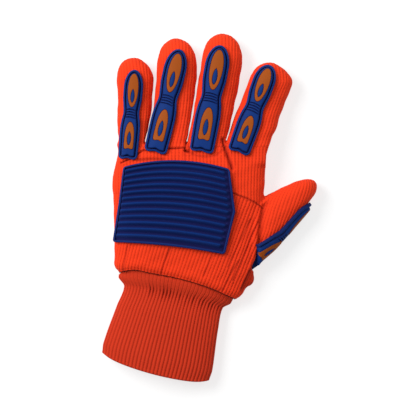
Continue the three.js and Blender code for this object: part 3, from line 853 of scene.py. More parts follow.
def guard_rubber():
    rubber = settings().rubber
    return rubber_material("guard_rubber", tuple(rubber.colour), tuple(rubber.shade), rubber.roughness)


def pad_rubber():
    rubber = settings().rubber
    colour = tuple(rubber.pad_colour)
    # The pads' low places take a darker copy of their colour as painted shade
    return rubber_material("pad_rubber", colour, scaled(colour, 0.45), rubber.roughness)


# The knit hand


def tube_loft(tube, start, stop, inset):
    """A closed solid inside a tube's skin."""
    sides = 56
    angles = np.arange(sides) * 2 * math.pi / sides
    if tube.dome is None:
        rows = np.linspace(start, stop, 30)
    else:
        ends = np.sin(np.linspace(0, math.pi / 2, 12)[1:-1])
        rows = np.append(np.linspace(start, tube.dome, 16), tube.dome + (stop - tube.dome) * ends)
        rows = np.append(rows, stop - 0.02)
    return loft([tube.ring(v, inset, angles) for v in rows], False)


def spread_by(name, y):
    """How far a finger is held aside, past its root, while the skin is made."""
    aside = {"little": -1.5, "ring": -0.5, "middle": 0.5, "index": 1.5}[name] * SPREAD["apart"]
    return aside * ease((y - HAND_LENGTH - 0.6) / SPREAD["over"])


def nearest_finger(points, shifts):
    """The number of the finger that each point is on, where each finger is held aside by a shift."""
    gaps = []
    for name, shift in zip(FINGERS, shifts):
        tube = STALLS[name]
        moved = points.copy()
        moved[:, 0] -= shift
        u, v, _ = tube.own(moved)
        middle, across, *_ = tube.section(np.clip(v, 0, tube.end), domed=False)
        gaps.append(np.abs(u - middle) - across)
    return np.argmin(gaps, 0)


def closed_up(points):
    """Points of the skin with the fingers moved back from where they were held aside."""
    shifts = np.stack([spread_by(name, points[:, 1]) for name in FINGERS])
    nearest = nearest_finger(points, shifts)
    points = points.copy()
    points[:, 0] -= shifts[nearest, np.arange(len(points))]
    x, y, _ = points.T
    for number, slit in enumerate(SLITS):
        xs, ys = line_of(slit).T
        middle = np.interp(y, ys, xs)
        open_here = ease((y - HAND_LENGTH - 2.5) / 3) * ease((ys[-1] - y) / 6)
        sides = [np.minimum(x, middle - SLIT_HALF), np.maximum(x, middle + SLIT_HALF)]
        kept = np.select([nearest == number, nearest == number + 1], sides, x)
        x += (kept - x) * open_here
    xs, ys = line_of(INDEX_SIDE).T
    beyond = x - np.interp(y, ys, xs) + 0.2
    beyond = np.where(beyond < 5, np.maximum(beyond, 0), 0)  # the thumb lies further out
    x -= beyond * ease((y - ys[0]) / 5) * ease((ys[-1] - y) / 5)
    return points


def voxel_form(inset, voxel):
    """The whole hand with its fingers and thumb as one skin, taken in by an inset."""
    parts = [tube_loft(HAND, -OVERLAP["wrist"], HAND_LENGTH + OVERLAP["fingers"] - inset, inset)]
    for name, tube in STALLS.items():
        start = OUTLINES[name]["at"][0] * tube.end if name == "thumb" else -OVERLAP["root"]
        points, faces = tube_loft(tube, start, tube.end - inset, inset)
        if name != "thumb":
            points[:, 0] += spread_by(name, points[:, 1])
        parts.append((points, faces))
    points, faces, base = [], [], 0
    for part_points, part_faces in parts:
        points.append(part_points)
        faces += [tuple(i + base for i in face) for face in part_faces]
        base += len(part_points)
    obj = new_object("form", np.concatenate(points), faces)
    face_outwards(obj)
    apply_modifier(obj, "REMESH", mode="VOXEL", voxel_size=voxel)
    return obj


@functools.cache
def fabric_skin():
    """The smooth outer skin before its creases and cords, and a tree to find it by."""
    obj = voxel_form(0.0, SKIN_VOXEL)
    co = relax(coordinates(obj.data), edges_of(obj.data), 8)
    co = closed_up(co + SKIN_OUT * normals(obj.data))
    set_coordinates(obj.data, co)
    polygons = [tuple(p.vertices) for p in obj.data.polygons]
    skin = BVHTree.FromPolygons(co.tolist(), polygons)
    return obj, skin


def around(tube, points, along=None):
    """Distance round a tube from its crown line, and along it, for points near its skin."""
    u, v, z = tube.own(points)
    along = np.clip(v, 0, tube.end) if along is None else along
    middle, across, centre, upright, *_ = tube.section(along, domed=False)
    aside = np.abs(u - middle)
    domed = ease((v - tube.dome) / (tube.end - tube.dome)) if tube.dome else 0.0
    down = np.clip(centre + upright - z, 0, upright)
    drop = down * ease(aside / across / 0.6) * (1 - domed)
    over = (aside**ROUND_WAY + drop**ROUND_WAY) ** (1 / ROUND_WAY)
    arc = np.where(z < centre, aside, over)
    return middle, np.sign(u - middle) * arc, v + domed * down


def below_seam(points):
    """Where the back's lower panel is, whose cords are slanted."""
    corner_x, corner_y = to_drawing(LOWER_PANEL["corner"])
    split = corner_y - LOWER_PANEL["slope"] * (points[:, 0] - corner_x)
    return points[:, 1] < np.minimum(split, corner_y)


def cords_on_hand(points, up):
    """Distances across and along the hand's cords."""
    along = along_hand(points[:, 0], points[:, 1])
    middle, arc, _ = around(HAND, points, along)
    across, down = np.where(up, middle + arc, points[:, 0]), points[:, 1]
    slanted = below_seam(points) & up
    angle = np.arctan2(across - FAN[0], down - FAN[1])
    radius = np.hypot(across - FAN[0], down - FAN[1])
    return np.where(slanted, angle * FAN_RADIUS, across), np.where(slanted, radius, down)


def cord_lines(points, up):
    """Distances across and along the cords for every point, and which part of the glove it is on:
    the hand, 0, a finger, 1 to 4, or the thumb, 5."""
    x, y = points[:, 0], points[:, 1]
    part = np.zeros(len(points), int)
    part[x > thumb_line(y)] = 5
    fingers = (y > HAND_LENGTH) & (part != 5)
    part[fingers] = 1 + nearest_finger(points, np.zeros(len(FINGERS)))[fingers]
    part[(y > HAND_LENGTH) & (part == 5)] = 4
    across, along = cords_on_hand(points, up)
    for number, name in enumerate(FINGERS, 1):
        here = part == number
        _, arc, distance = around(STALLS[name], points[here])
        across[here], along[here] = arc, distance
    here = part == 5
    _, arc, distance = around(STALLS["thumb"], points[here])
    c, s = THUMB_CORDS
    across[here], along[here] = c * arc + s * distance, c * distance - s * arc
    return across, along, part


def from_line(points, line):
    """Distance of points from a line of several stretches, seen from above."""
    best = np.full(len(points), np.inf)
    for a, b in zip(line[:-1], line[1:]):
        way = b - a
        share = np.clip(((points[:, :2] - a) @ way) / (way @ way), 0, 1)
        gap = points[:, :2] - (a + share[:, None] * way)
        best = np.minimum(best, np.hypot(gap[:, 0], gap[:, 1]))
    return best


def unevenness(points):
    """Slow swells of a hand-sewn shell, in millimetres."""
    x, y, z = points.T
    swell = np.sin(x * 0.21 + 0.9 * np.sin(y * 0.13)) + np.sin(y * 0.17 - x * 0.06 + 1.3)
    swell += 0.7 * np.sin(x * 0.47 + y * 0.29 + z * 0.2) + 0.5 * np.sin(y * 0.61 - x * 0.33)
    return 0.16 * swell


def thumb_step(points):
    """The step down from the hand's edge to the thumb that is sewn under it, and the painted shade on
    the thumb beside it.
    """
    x, y, z = points.T
    side = x - thumb_line(y)
    reach = ease((y - 4) / 10) * ease((70 - y) / 6) * ease((z - 3) / 5)
    drop = ease((side + 1.4) / 1.6) * np.exp(-((np.maximum(side, 0) / THUMB_STEP["over"]) ** 2))
    lip = np.exp(-(((side + 2.8) / 1.6) ** 2))
    shadow = ease((side + 0.6) / 1.2) * np.exp(-((np.maximum(side - 0.6, 0) / 2.2) ** 2))
    return reach * (THUMB_STEP["lip"] * lip - THUMB_STEP["depth"] * drop), 0.5 * reach * shadow


def heel_fold(points):
    """The fold of the palm's layer that shows beyond the upper layer's edge at the heel, and the
    painted shade on that fold beyond the edge.
    """
    x, y, z = points.T
    xs, ys = line_of(HEEL_EDGE).T
    side = x - np.interp(y, ys, xs)
    reach = ease((y - ys[0]) / 5) * ease((ys[-1] - y) / 8) * ease((z - 3) / 5)
    place = to_drawing(HEEL_FOLD["at"])
    away = np.hypot(x - place[0], y - place[1]) / HEEL_FOLD["over"]
    bulge = HEEL_FOLD["bulge"] * np.exp(-(away**2)) * ease((18 - z) / 8) * ease((side + 1) / 2)
    shadow = np.exp(-(((side - 0.6) / 1.3) ** 2)) * ease((side + 0.5) / 1) + 0.45 * ease(side / 2)
    return bulge - HEEL_FOLD["step"] * reach * ease((side + 0.7) / 1.8), reach * shadow


def creased(points, outward):
    """How far creases, seams and swells push the fabric out, and how much painted shade each point gets
    in them.
    """
    step, step_dark = thumb_step(points)
    fold, fold_dark = heel_fold(points)
    push = unevenness(points) + step + fold
    dark = step_dark + fold_dark
    above = ease((outward[:, 2] + 0.1) / 0.5)
    for depth, width, line in CREASES.values():
        distance = from_line(points, line_of(line))
        dip = np.exp(-((distance / width) ** 2))
        lips = np.exp(-(((distance - 2.4 * width) / (1.3 * width)) ** 2))
        push += above * depth * (0.22 * lips - dip)
        # Painted shade along each crease and seam, stronger for deeper ones up to 1 mm
        dark += above * min(1.0, depth) * dip
    hem = np.maximum(0, points[:, 1] - wrist_line(points[:, 0]))
    push -= HEM["dip"] * np.exp(-((hem / HEM["dip_over"]) ** 2))
    push += HEM["roll"] * np.exp(-(((hem - HEM["roll_at"]) / HEM["roll_over"]) ** 2))
    return push, np.minimum(dark, 1)


def cut(obj, line, axis, keep_more):
    """Cuts a mesh along a line of the drawing and keeps one side of it."""
    other = 1 - axis
    co = coordinates(obj.data)
    co[:, axis] -= line(co[:, other])
    set_coordinates(obj.data, co)
    with editing(obj) as mesh:
        bmesh.ops.bisect_plane(
            mesh, geom=mesh.verts[:] + mesh.edges[:] + mesh.faces[:], dist=1e-5,
            plane_co=(0, 0, 0), plane_no=AXES[axis], clear_inner=keep_more,
            clear_outer=not keep_more,
        )
    co = coordinates(obj.data)
    co[:, axis] += line(co[:, other])
    set_coordinates(obj.data, co)


def copy_of(obj, name):
    return placed(name, obj.data.copy())


def finger_line(x):
    """The seam between the hand and the fingers."""
    return np.full_like(x, HAND_LENGTH - 0.4)


# Cuts of each knit piece: its lines, the axis that each is a height of, and whether the side with more
# is kept. Then the nodes that the piece replaces
KNIT_PIECES = {
    "fingers_knit": (
        ((finger_line, 1, True),),
        ["little_stall", "ring_stall", "middle_stall", "index_stall"],
    ),
    "hand_knit": (
        ((finger_line, 1, False), (wrist_line, 1, True), (thumb_line, 0, False)), ["hand_body"],
    ),
    "thumb_knit": (((thumb_line, 0, True), (finger_line, 1, False)), ["thumb_stall"]),
}


def sew_rims(outer, inner):
    """Joins an outer and an inner wall into one shell with closed rims."""
    with editing(inner) as mesh:
        bmesh.ops.reverse_faces(mesh, faces=mesh.faces[:])
    with editing(outer) as mesh:
        mesh.from_mesh(inner.data)
        loops = []
        for loop in open_loops(mesh):
            if len(loop) > SMALLEST_RIM:
                loops.append(loop)
            else:
                mend(mesh, loop)
        while loops:
            first = loops.pop(0)
            middle = loop_middle(first)
            second = min(loops, key=lambda loop: (loop_middle(loop) - middle).length)
            loops.remove(second)
            bmesh.ops.bridge_loops(mesh, edges=first + second)
    delete(inner)


def mend(mesh, loop):
    """Closes a nick in a shell, or removes the flake that it bounds."""
    faces = {face for edge in loop for face in edge.link_faces}
    front = list(faces)
    flake = 60  # faces, at most
    while front and len(faces) < flake:
        near = {f for edge in front.pop().edges for f in edge.link_faces} - faces
        faces |= near
        front += near
    if front:
        bmesh.ops.holes_fill(mesh, edges=loop, sides=0)
    else:
        bmesh.ops.delete(mesh, geom=list(faces), context="FACES")


def open_loops(mesh):
    """The open edges of a mesh, gathered into loops."""
    mesh.edges.index_update()
    waiting = {edge.index: edge for edge in mesh.edges if edge.is_boundary}
    loops = []
    while waiting:
        loop = [waiting.pop(next(iter(waiting)))]
        for edge in loop:
            near = [e.index for vertex in edge.verts for e in vertex.link_edges if e.index in waiting]
            loop += [waiting.pop(index) for index in dict.fromkeys(near)]
        loops.append(loop)
    return loops


def loop_middle(loop):
    return sum((edge.verts[0].co for edge in loop), Vector()) / len(loop)


def dressed_skin():
    """The outer skin with its creases and cords, and the UV map that counts them."""
    form, _ = fabric_skin()
    knit = settings().knit
    pitch, depth, row = knit.pitch / MM, knit.depth / MM, knit.row / MM
    skin = copy_of(form, "skin")
    apply_modifier(skin, "SUBSURF", levels=1, render_levels=1)
    co, outward = coordinates(skin.data), normals(skin.data)
    push, dark = creased(co, outward)
    co = co + outward * push[:, None]
    set_coordinates(skin.data, co)
    outward = normals(skin.data)
    up = co[:, 2] > BACK_FROM
    across, along, part = cord_lines(co, up)
    crest = np.abs(np.sin(across / pitch * math.pi)) ** 0.8
    full = (part == 0) & up & below_seam(co)
    # How deep the furrows are; the material also reads it as how much painted shade they get
    deep = 0.55 + 0.45 * full * ease((co[:, 0] - 10) / 45)
    co = co + outward * ((crest - 0.5) * depth * deep)[:, None]
    co[:, 2] = np.maximum(co[:, 2], 0.0)
    set_coordinates(skin.data, co)
    set_ribs(skin.data, across / pitch, along / row)
    # For the material: how much painted shade the furrows get
    set_floats(skin.data, "deep", deep)
    # For the material: how much painted shade the creases, seams and folds get
    set_floats(skin.data, "crease_shade", dark)
    return skin


class GLOVE_OT_knit(bpy.types.Operator):
    """Sews the corded knit of the hand, the fingers and the thumb"""

    bl_idname = "glove.knit"
    bl_label = "Knit hand"

    def execute(self, context):
        skin = dressed_skin()
        lining = voxel_form(WALL, LINING_VOXEL)
        co = closed_up(relax(coordinates(lining.data), edges_of(lining.data), 3))
        co[:, 2] = np.maximum(co[:, 2], LINING_FLOOR)
        set_coordinates(lining.data, co)
        lining.data.uv_layers.new(name="ribs")
        for name in ("deep", "crease_shade"):
            set_floats(lining.data, name, np.zeros(len(co)))
        for name, (lines, nodes) in KNIT_PIECES.items():
            outer, inner = copy_of(skin, name), copy_of(lining, name + "_inner")
            for line, axis, more in lines:
                cut(outer, line, axis, more)
                cut(inner, line, axis, more)
            sew_rims(outer, inner)
            finish(outer, hand_knit(), nodes, 60)
        delete(skin)
        delete(lining)
        return {"FINISHED"}


# The cuff


def even_ring(tube, along, inset, pressed, nip=0.0):
    """A ring spaced evenly along its own arc, with each of its points pressed in by an amount."""
    middle, across, centre, upright, square, tilt, bow = tube.section(along, inset)
    angles = np.linspace(0, 2 * math.pi, 1441)
    round_u = across * power(np.cos(angles), 2 / square)
    round_z = centre + upright * power(np.sin(angles), 2 / square)
    arc = np.append(0, np.cumsum(np.hypot(np.diff(round_u), np.diff(round_z))))
    at = np.arange(len(pressed)) / len(pressed) * arc[-1]

    def places(at):
        return np.stack([np.interp(at, arc, round_u), np.interp(at, arc, round_z)], 1)

    here = places(at)
    way = places((at + 0.2) % arc[-1]) - here
    way /= np.linalg.norm(way, axis=1)[:, None] + 1e-9
    inward = np.stack([-way[:, 1], way[:, 0]], 1)
    here += inward * pressed[:, None]
    u, z = here.T
    share = np.abs(u / across)
    v = along + tilt * u + bow * (1 - share**2) - nip * share**8
    return tube.drawing(middle + u, v, np.maximum(z, max(inset, 0)))


def cuff_nip(along):
    """How far the cuff's corners are drawn in towards its end."""
    return CUFF_NIP * ease((along / CUFF_LENGTH - 0.8) / 0.2)


def on_bulge(along):
    return 1 - ease((along - CUFF_BULGE["end"]) / CUFF_BULGE["over"])


def cuff_gather(turn, ribs):
    """How strongly the ribs are gathered under the wrist seam, in places counted in ribs."""
    pleats = np.random.default_rng(5).random(ribs + 1)
    back = ribs / 2
    on_back = ease((turn - 4) / 7) * ease((back - turn) / 3)
    return np.interp(turn, np.arange(ribs + 1), pleats) * np.where(turn < back, on_back, 0.4)


class GLOVE_OT_cuff(bpy.types.Operator):
    """Knits the ribbed cuff, gathered under the wrist seam and open at its end"""

    bl_idname = "glove.cuff"
    bl_label = "Rib-knit cuff"

    per_rib = 8
    rows = 104
    stitch_row = 1.5

    def execute(self, context):
        knit = settings().knit
        count = knit.cuff_ribs * self.per_rib
        turn = np.arange(count) / self.per_rib
        gather = cuff_gather(turn, knit.cuff_ribs)
        furrow = 1 - np.abs(np.sin(turn * math.pi)) ** 0.9
        fine = 0.5 - 0.5 * np.abs(np.sin(2 * turn * math.pi))
        plain = np.zeros(count)
        first = CUFF_OUTLINE["at"][0] * CUFF_LENGTH
        turned = (int(count * 1.5) - np.arange(count)) % count
        # Each ring, how far along the cloth it lies, and how much painted shade its gathers get
        rings = []
        for along in np.linspace(CUFF_TUCK, 0, 4):
            rings.append((even_ring(HAND, along, WALL + SEAM_GAP, plain)[turned], -along, plain))
        for along in np.linspace(first, CUFF_LENGTH, self.rows):
            from_neck = (along - CUFF_NECK["at"] * CUFF_LENGTH) / CUFF_NECK["over"]
            neck = math.exp(-(from_neck**2))
            bulge = on_bulge(along)
            depth = knit.cuff_depth / MM * (0.8 + 2.2 * neck * gather)
            close = 1 - 0.5 * ease((along - CUFF_LENGTH + 1.5) / 1.5)
            swell = 0.25 * np.sin(turn * 0.9 + along * 0.11) + 0.2 * np.sin(turn * 0.37 - along * 0.07)
            ribbed = depth * (furrow * (1 - bulge) + 0.6 * fine * bulge) * close
            ring = even_ring(CUFF, along, 0.0, ribbed + 0.3 * swell, cuff_nip(along))
            rings.append((ring, along, 0.75 * neck * gather * furrow))
        mouth = even_ring(CUFF, CUFF_LENGTH + 0.55, CUFF_WALL * 0.5, 0.25 * furrow, CUFF_NIP)
        rings.append((mouth, CUFF_LENGTH + 1, plain))
        for along in np.linspace(CUFF_LENGTH - 0.6, first + 8, 12):
            ring = even_ring(CUFF, along, CUFF_WALL, 0.5 * furrow, cuff_nip(along))
            rings.append((ring, 2 * CUFF_LENGTH - along, plain))
        tail = even_ring(HAND, CUFF_TUCK, WALL + SEAM_GAP + CUFF_WALL, plain)[turned]
        rings.append((tail, 2 * CUFF_LENGTH, plain))
        rounds, marks, dark = zip(*rings)
        marks = np.array(marks)
        points, faces = loft(rounds, True)
        below = wrist_line(points[:, 0]) - points[:, 1]
        points[:, 1] += seam_rise(points[:, 0]) * ease((12 - below) / 10)
        cuff = new_object("cuff_knit", points, faces)
        set_ribs(cuff.data, np.tile(turn, len(marks)), np.repeat(marks / self.stitch_row, count))
        # How much painted shade the cuff's furrows get, less on the bulge
        set_floats(cuff.data, "deep", np.repeat(0.55 - 0.35 * on_bulge(marks), count))
        # Painted shade in the gathers' furrows
        set_floats(cuff.data, "crease_shade", np.concatenate(dark))
        face_outwards(cuff)
        finish(cuff, cuff_knit(), ["wrist_cuff"])
        return {"FINISHED"}


@functools.cache
def thread_material():
    """Sewing thread, twisted, in a dark red that is partly the thread's own colour and partly painted
    shade of the seam's gap.
    """
    material, tree, shader = new_material("sewing_thread")
    place = node(tree, "TexCoord").outputs["Object"]
    twist = noise(tree, place, 1500.0, 2.0)
    # Near-black reds: the thread's colour and painted shade of the seam's gap together
    final = blend(tree, twist, (0.035, 0.004, 0.004, 1), (0.14, 0.012, 0.008, 1))
    tree.links.new(final, shader.inputs["Base Color"])
    add_bump(tree, shader, twist, 0.4, 0.0002)
    set_shader(shader, {"Roughness": 0.7, "Specular IOR Level": 0.15})
    return material


class GLOVE_OT_stitches(bpy.types.Operator):
    """Sews the loops of thread over the wrist seam"""

    bl_idname = "glove.stitches"
    bl_label = "Wrist stitches"

    pitch = 1.35
    loop = {"major_radius": 0.62, "minor_radius": 0.2, "major_segments": 9, "minor_segments": 5}

    def execute(self, context):
        deselect()
        bpy.ops.mesh.primitive_torus_add(**self.loop)
        torus = bpy.context.object
        shape = coordinates(torus.data)
        faces = np.array([tuple(p.vertices) for p in torus.data.polygons])
        delete(torus)
        _, across, _, upright, *_ = HAND.section(0.0)
        count = int(2 * math.pi * math.hypot(across, upright) / math.sqrt(2) * 1.04 / self.pitch)
        ring = even_ring(HAND, 0.0, SEAM_DIP, np.zeros(count))
        ring[:, 1] += seam_rise(ring[:, 0])
        tangent = np.roll(ring, -1, 0) - np.roll(ring, 1, 0)
        tangent /= np.linalg.norm(tangent, axis=1)[:, None]
        along = np.array([0.0, 1.0, 0.0]) - tangent * tangent[:, 1:2]
        along /= np.linalg.norm(along, axis=1)[:, None]
        out = np.cross(tangent, along)
        rng = np.random.default_rng(11)
        size = rng.uniform(0.75, 1.35, count) * (0.45 + 0.55 * np.abs(out[:, 2]))
        size = size[:, None, None]
        turn = rng.normal(0, 0.35, count)[:, None]
        way = along * np.cos(turn) + tangent * np.sin(turn)
        side = np.cross(out, way)
        frames = np.stack([way, out, side], 1)
        points = ring[:, None] + size * np.einsum("pi,nij->npj", shape, frames)
        points[:, :, 2] = np.maximum(points[:, :, 2], 0.05)
        starts = np.arange(count)[:, None, None] * len(shape)
        loops = (faces[None] + starts).reshape(-1, faces.shape[1]).tolist()
        stitches = new_object("wrist_stitches", points.reshape(-1, 3), loops)
        face_outwards(stitches)
        finish(stitches, thread_material(), [])
        return {"FINISHED"}


# Rubber pieces, modelled flat and then laid over the fabric


class Wrap:
    """The fabric under a rubber piece, as a smoothed sheet of points with a direction out of it."""

    def __init__(self, us, vs, points, out, low):
        self.us, self.vs = us, vs
        heights = np.einsum("ijk,ijk->ij", points, out)
        level = np.maximum(heights, low)
        for _ in range(3):
            level = self.soften(level)
        self.points = points + out * (level - heights)[:, :, None]
        self.out = out

    @staticmethod
    def soften(level):
        padded = np.pad(level, 1, mode="edge")
        rows = (padded[:-2] + 2 * padded[1:-1] + padded[2:]) / 4
        return (rows[:, :-2] + 2 * rows[:, 1:-1] + rows[:, 2:]) / 4

    def at(self, u, v, height):
        """Points at a height over the fabric, from places across and along the piece."""
        i = np.clip((u - self.us[0]) / (self.us[1] - self.us[0]), 0, len(self.us) - 1.001)
        j = np.clip((v - self.vs[0]) / (self.vs[1] - self.vs[0]), 0, len(self.vs) - 1.001)
        i0, j0 = i.astype(int), j.astype(int)
        a, b = (i - i0)[:, None], (j - j0)[:, None]

        def between(grid):
            low = grid[i0, j0] * (1 - a) + grid[i0 + 1, j0] * a
            high = grid[i0, j0 + 1] * (1 - a) + grid[i0 + 1, j0 + 1] * a
            return low * (1 - b) + high * b

        return between(self.points) + between(self.out) * height[:, None]


def cast(starts, ways):
    """Where rays meet the smooth fabric, or None where they miss it."""
    _, skin = fabric_skin()
    return [skin.ray_cast(Vector(s), Vector(w))[0] for s, w in zip(starts, ways)]


def wrap_from_rays(us, vs, starts, ways, limit):
    """A wrap from rays that fall on the fabric against the direction out of it."""
    shape = (len(us), len(vs))
    hits = cast(starts.reshape(-1, 3), ways.reshape(-1, 3))
    out = -ways
    heights = [
        np.nan if hit is None else np.array(hit) @ up for hit, up in zip(hits, out.reshape(-1, 3))
    ]
    heights = np.array(heights).reshape(shape)
    centre = heights[len(us) // 2]
    known = ~np.isnan(centre)
    centre = np.interp(np.arange(len(vs)), np.flatnonzero(known), centre[known])
    low = np.broadcast_to(centre - limit, shape)
    heights = np.where(np.isnan(heights), low, heights)
    flat = starts - out * np.einsum("ijk,ijk->ij", starts, out)[:, :, None]
    return Wrap(us, vs, flat + out * heights[:, :, None], out, low)


def thumb_wrap(guard, tube, us):
    """The guard's length and its wrap on the thumb's side, where it turns as it runs along."""
    start = guard["base"][1] * THUMB["length"]
    length = (guard["tip"][1] - guard["base"][1]) * THUMB["length"]
    vs = np.linspace(-1, length + 1, 34)
    share = ease(vs / (GUARD_TILT["over"] * length))
    tilt = np.radians(GUARD_TILT["base"] + (GUARD_TILT["tip"] - GUARD_TILT["base"]) * share)
    middle, _, centre, *_ = tube.section(start + vs)
    reach = 60.0
    u = middle + us[:, None] * np.sin(tilt) + reach * np.cos(tilt)
    z = centre - us[:, None] * np.cos(tilt) + reach * np.sin(tilt)
    starts = tube.drawing(u, np.broadcast_to(start + vs, u.shape), z)
    away = tube.drawing(np.cos(tilt), 0 * tilt, np.sin(tilt)) - tube.drawing(0, 0, 0)
    wrap = wrap_from_rays(us, vs, starts, np.broadcast_to(-away, starts.shape), GUARD_WRAP)
    hidden = ease((HAND_EDGE - wrap.points[..., 0]) / 2.5)
    under = 0.5 * wrap.out + np.array([0.0, 0.0, 0.85])
    wrap.points -= under * (THUMB_TUCK * hidden)[..., None]
    return length, wrap


@functools.cache
def guard_wrap(name):
    """Length of a guard and the fabric that it lies on."""
    guard, tube = GUARDS[name], STALLS[name]
    half = guard["width"] / 2 + 1
    us = np.linspace(-half, half, 15)
    if name == "thumb":
        return thumb_wrap(guard, tube, us)
    f = FINGERS[name]

    def point(share):
        return np.array([
            tube.place[0] + share[0] * f["width"] + f["lean"] * share[1],
            tube.place[1] + share[1] * f["length"],
        ])

    foot, top = point(guard["base"]), point(guard["tip"])
    length = float(np.hypot(*(top - foot)))
    way = (top - foot) / length
    vs = np.linspace(-1, length + 1, 34)
    centre = foot + vs[:, None] * way
    aside = np.array([way[1], -way[0]])
    flat = centre[None] + us[:, None, None] * aside
    starts = np.concatenate([flat, np.full(flat.shape[:2] + (1,), RAY_HEIGHT)], 2)
    ways = np.broadcast_to(np.array([0.0, 0.0, -1.0]), starts.shape)
    return length, wrap_from_rays(us, vs, starts, ways, GUARD_WRAP)


def resample(points, count):
    """A closed outline with its points spaced evenly."""
    points = np.asarray(points)
    ring = np.concatenate([points, points[:1]])
    arc = np.append(0, np.cumsum(np.linalg.norm(np.diff(ring, axis=0), axis=1)))
    at = np.arange(count) / count * arc[-1]
    return np.stack([np.interp(at, arc, ring[:, k]) for k in range(2)], 1)


def guard_half(width, length, v):
    """Half a guard's width at a place along it."""
    return width / 2 * smooth(GUARD_OUTLINE, v / length, "half")


def pads_of(name):
    return THUMB_PADS if name == "thumb" else PADS


def foot_notch(share):
    """The notch between the two lobes of a foot, by the share of its half width."""
    near = np.clip((np.asarray(share) + 0.06) / 0.62, -1, 1)
    return 0.5 + 0.5 * np.cos(math.pi * near)


def guard_outline(width, length, inset=0.0):
    """A guard's outline, taken in by an inset: a waved foot, round corners, a waist and a round tip."""
    corner = max(GUARD_CORNER - inset, 0.4)
    ends = length - inset

    def half(v):
        slope = (guard_half(width, length, v + 0.1) - guard_half(width, length, v - 0.1)) / 0.2
        return float(guard_half(width, length, v) - inset * math.hypot(1, slope))

    foot = half(GUARD_CORNER) - corner
    base = [(u, inset) for u in np.linspace(-foot, foot, 20)[:-1]]
    turn = np.linspace(-math.pi / 2, 0, 8)[:-1]
    right = [(foot + corner * math.cos(a), inset + corner + corner * math.sin(a)) for a in turn]
    shoulder = length * (1 - GUARD_TIP)
    right += [(half(v), v) for v in np.linspace(inset + corner, shoulder, 50)[:-1]]
    for a in np.linspace(0, math.pi / 2, 20)[:-1]:
        v = shoulder + (ends - shoulder) * math.sin(a)
        right.append((half(min(v, shoulder + 0.5 * (v - shoulder))) * math.cos(a), v))
    left = [(-u, v) for u, v in reversed(right)]
    outline = np.array([*base, *right, (0.0, ends), *left])
    fade = np.maximum(0, 1 - (outline[:, 1] - inset) / GUARD_WAVE_OVER)
    outline[:, 1] += GUARD_WAVE * foot_notch(outline[:, 0] / (foot + corner)) * fade
    return outline


def pad_outline(width, length, pad, grow):
    """An egg, squared and waved at its foot on the base pad."""
    count = 72
    half, long = width / 2 * pad["wide"] + grow, length * pad["long"] + grow
    angles = np.arange(count) / count * 2 * math.pi
    square = np.where(np.sin(angles) < 0, pad["square"], 2.0)
    v = power(np.sin(angles), 2 / square)
    u = power(np.cos(angles), 2 / square) * (1 + pad["taper"] * v)
    wave = pad["wave"] * foot_notch(u) * np.clip(-v - 0.4, 0, 0.6) / 0.6
    return resample(np.stack([u * half, length * pad["at"] + v * long + wave], 1), count)


def window_outline(width, length, pad, grow):
    """The pad's window, an almond."""
    angles = np.arange(40) / 40 * 2 * math.pi
    half, long = width / 2 * PAD_HOLE_WIDE + grow, length * pad["hole_long"] + grow
    u = half * power(np.cos(angles), 1.25) * (1 - 0.12 * np.sin(angles))
    return np.stack([u, length * pad["hole"] + long * np.sin(angles)], 1)


def stack(name, levels):
    """A solid raised by extruding a face through levels, each an outline and its height."""
    deselect()
    (outline, base), *rest = levels
    bpy.ops.mesh.primitive_circle_add(vertices=len(outline), radius=1.0, fill_type="NGON")
    obj = bpy.context.object
    obj.name = name
    set_coordinates(obj.data, np.column_stack([outline, np.full(len(outline), base)]))
    bpy.ops.object.mode_set(mode="EDIT")
    bpy.ops.mesh.select_all(action="SELECT")
    for outline, height in rest:
        bpy.ops.mesh.extrude_region_move(TRANSFORM_OT_translate={"value": (0, 0, 0)})
        mesh = bmesh.from_edit_mesh(obj.data)
        top = next(face for face in mesh.faces if face.select)
        for vertex, (u, v) in zip(top.verts, outline):
            vertex.co = (u, v, height)
        bmesh.update_edit_mesh(obj.data)
    bpy.ops.object.mode_set(mode="OBJECT")
    face_outwards(obj)
    return obj


def rounded(width, rise, start, stop, count):
    """Insets and rises along a stretch of an ellipse, between two angles in degrees."""
    angles = np.radians(np.linspace(start, stop, count + 1))
    inward, lift = np.cos(angles[0]) - np.cos(angles), np.sin(angles) - np.sin(angles[0])
    return list(zip(inward * width, lift * rise))


def guard_levels(width, length):
    """A guard's face from its outer edge in: a rounded rim, a groove and a raised body."""
    bead = 0.6
    profile = [(0.0, 0.0)]
    profile += [(w / 2, RIM_HEIGHT - bead + r) for w, r in rounded(RIM_WIDTH, bead, 0, 180, 8)]
    floor = RIM_WIDTH + GROOVE_WIDTH
    profile += [(RIM_WIDTH + 0.1, GROOVE_HEIGHT), (floor, GROOVE_HEIGHT)]
    wall = 1.1
    rise = BODY_HEIGHT - GROOVE_HEIGHT - wall
    for inward, lift in rounded(SHOULDER, rise, 0, 90, 5):
        profile.append((floor + 0.12 + inward, GROOVE_HEIGHT + wall + lift))
    return [(guard_outline(width, length, inset), height) for inset, height in profile]


def combine(obj, tool, operation):
    """Cuts a tool out of a piece or joins it on, and removes the tool."""
    apply_modifier(obj, "BOOLEAN", object=tool, operation=operation, solver="EXACT")
    delete(tool)


def slice_up(obj, length):
    """Cuts a flat rubber piece's long faces across and along so that they can bend."""
    rows = np.arange(SLICE["from"], length, SLICE["along"])
    columns = np.arange(-SLICE["side"], SLICE["side"] + 0.75, SLICE["across"])
    with editing(obj) as mesh:
        for axis, places in ((1, rows), (0, columns)):
            for place in places:
                bmesh.ops.bisect_plane(
                    mesh, geom=mesh.verts[:] + mesh.edges[:] + mesh.faces[:], dist=1e-4,
                    plane_co=AXES[axis] * place, plane_no=AXES[axis],
                )


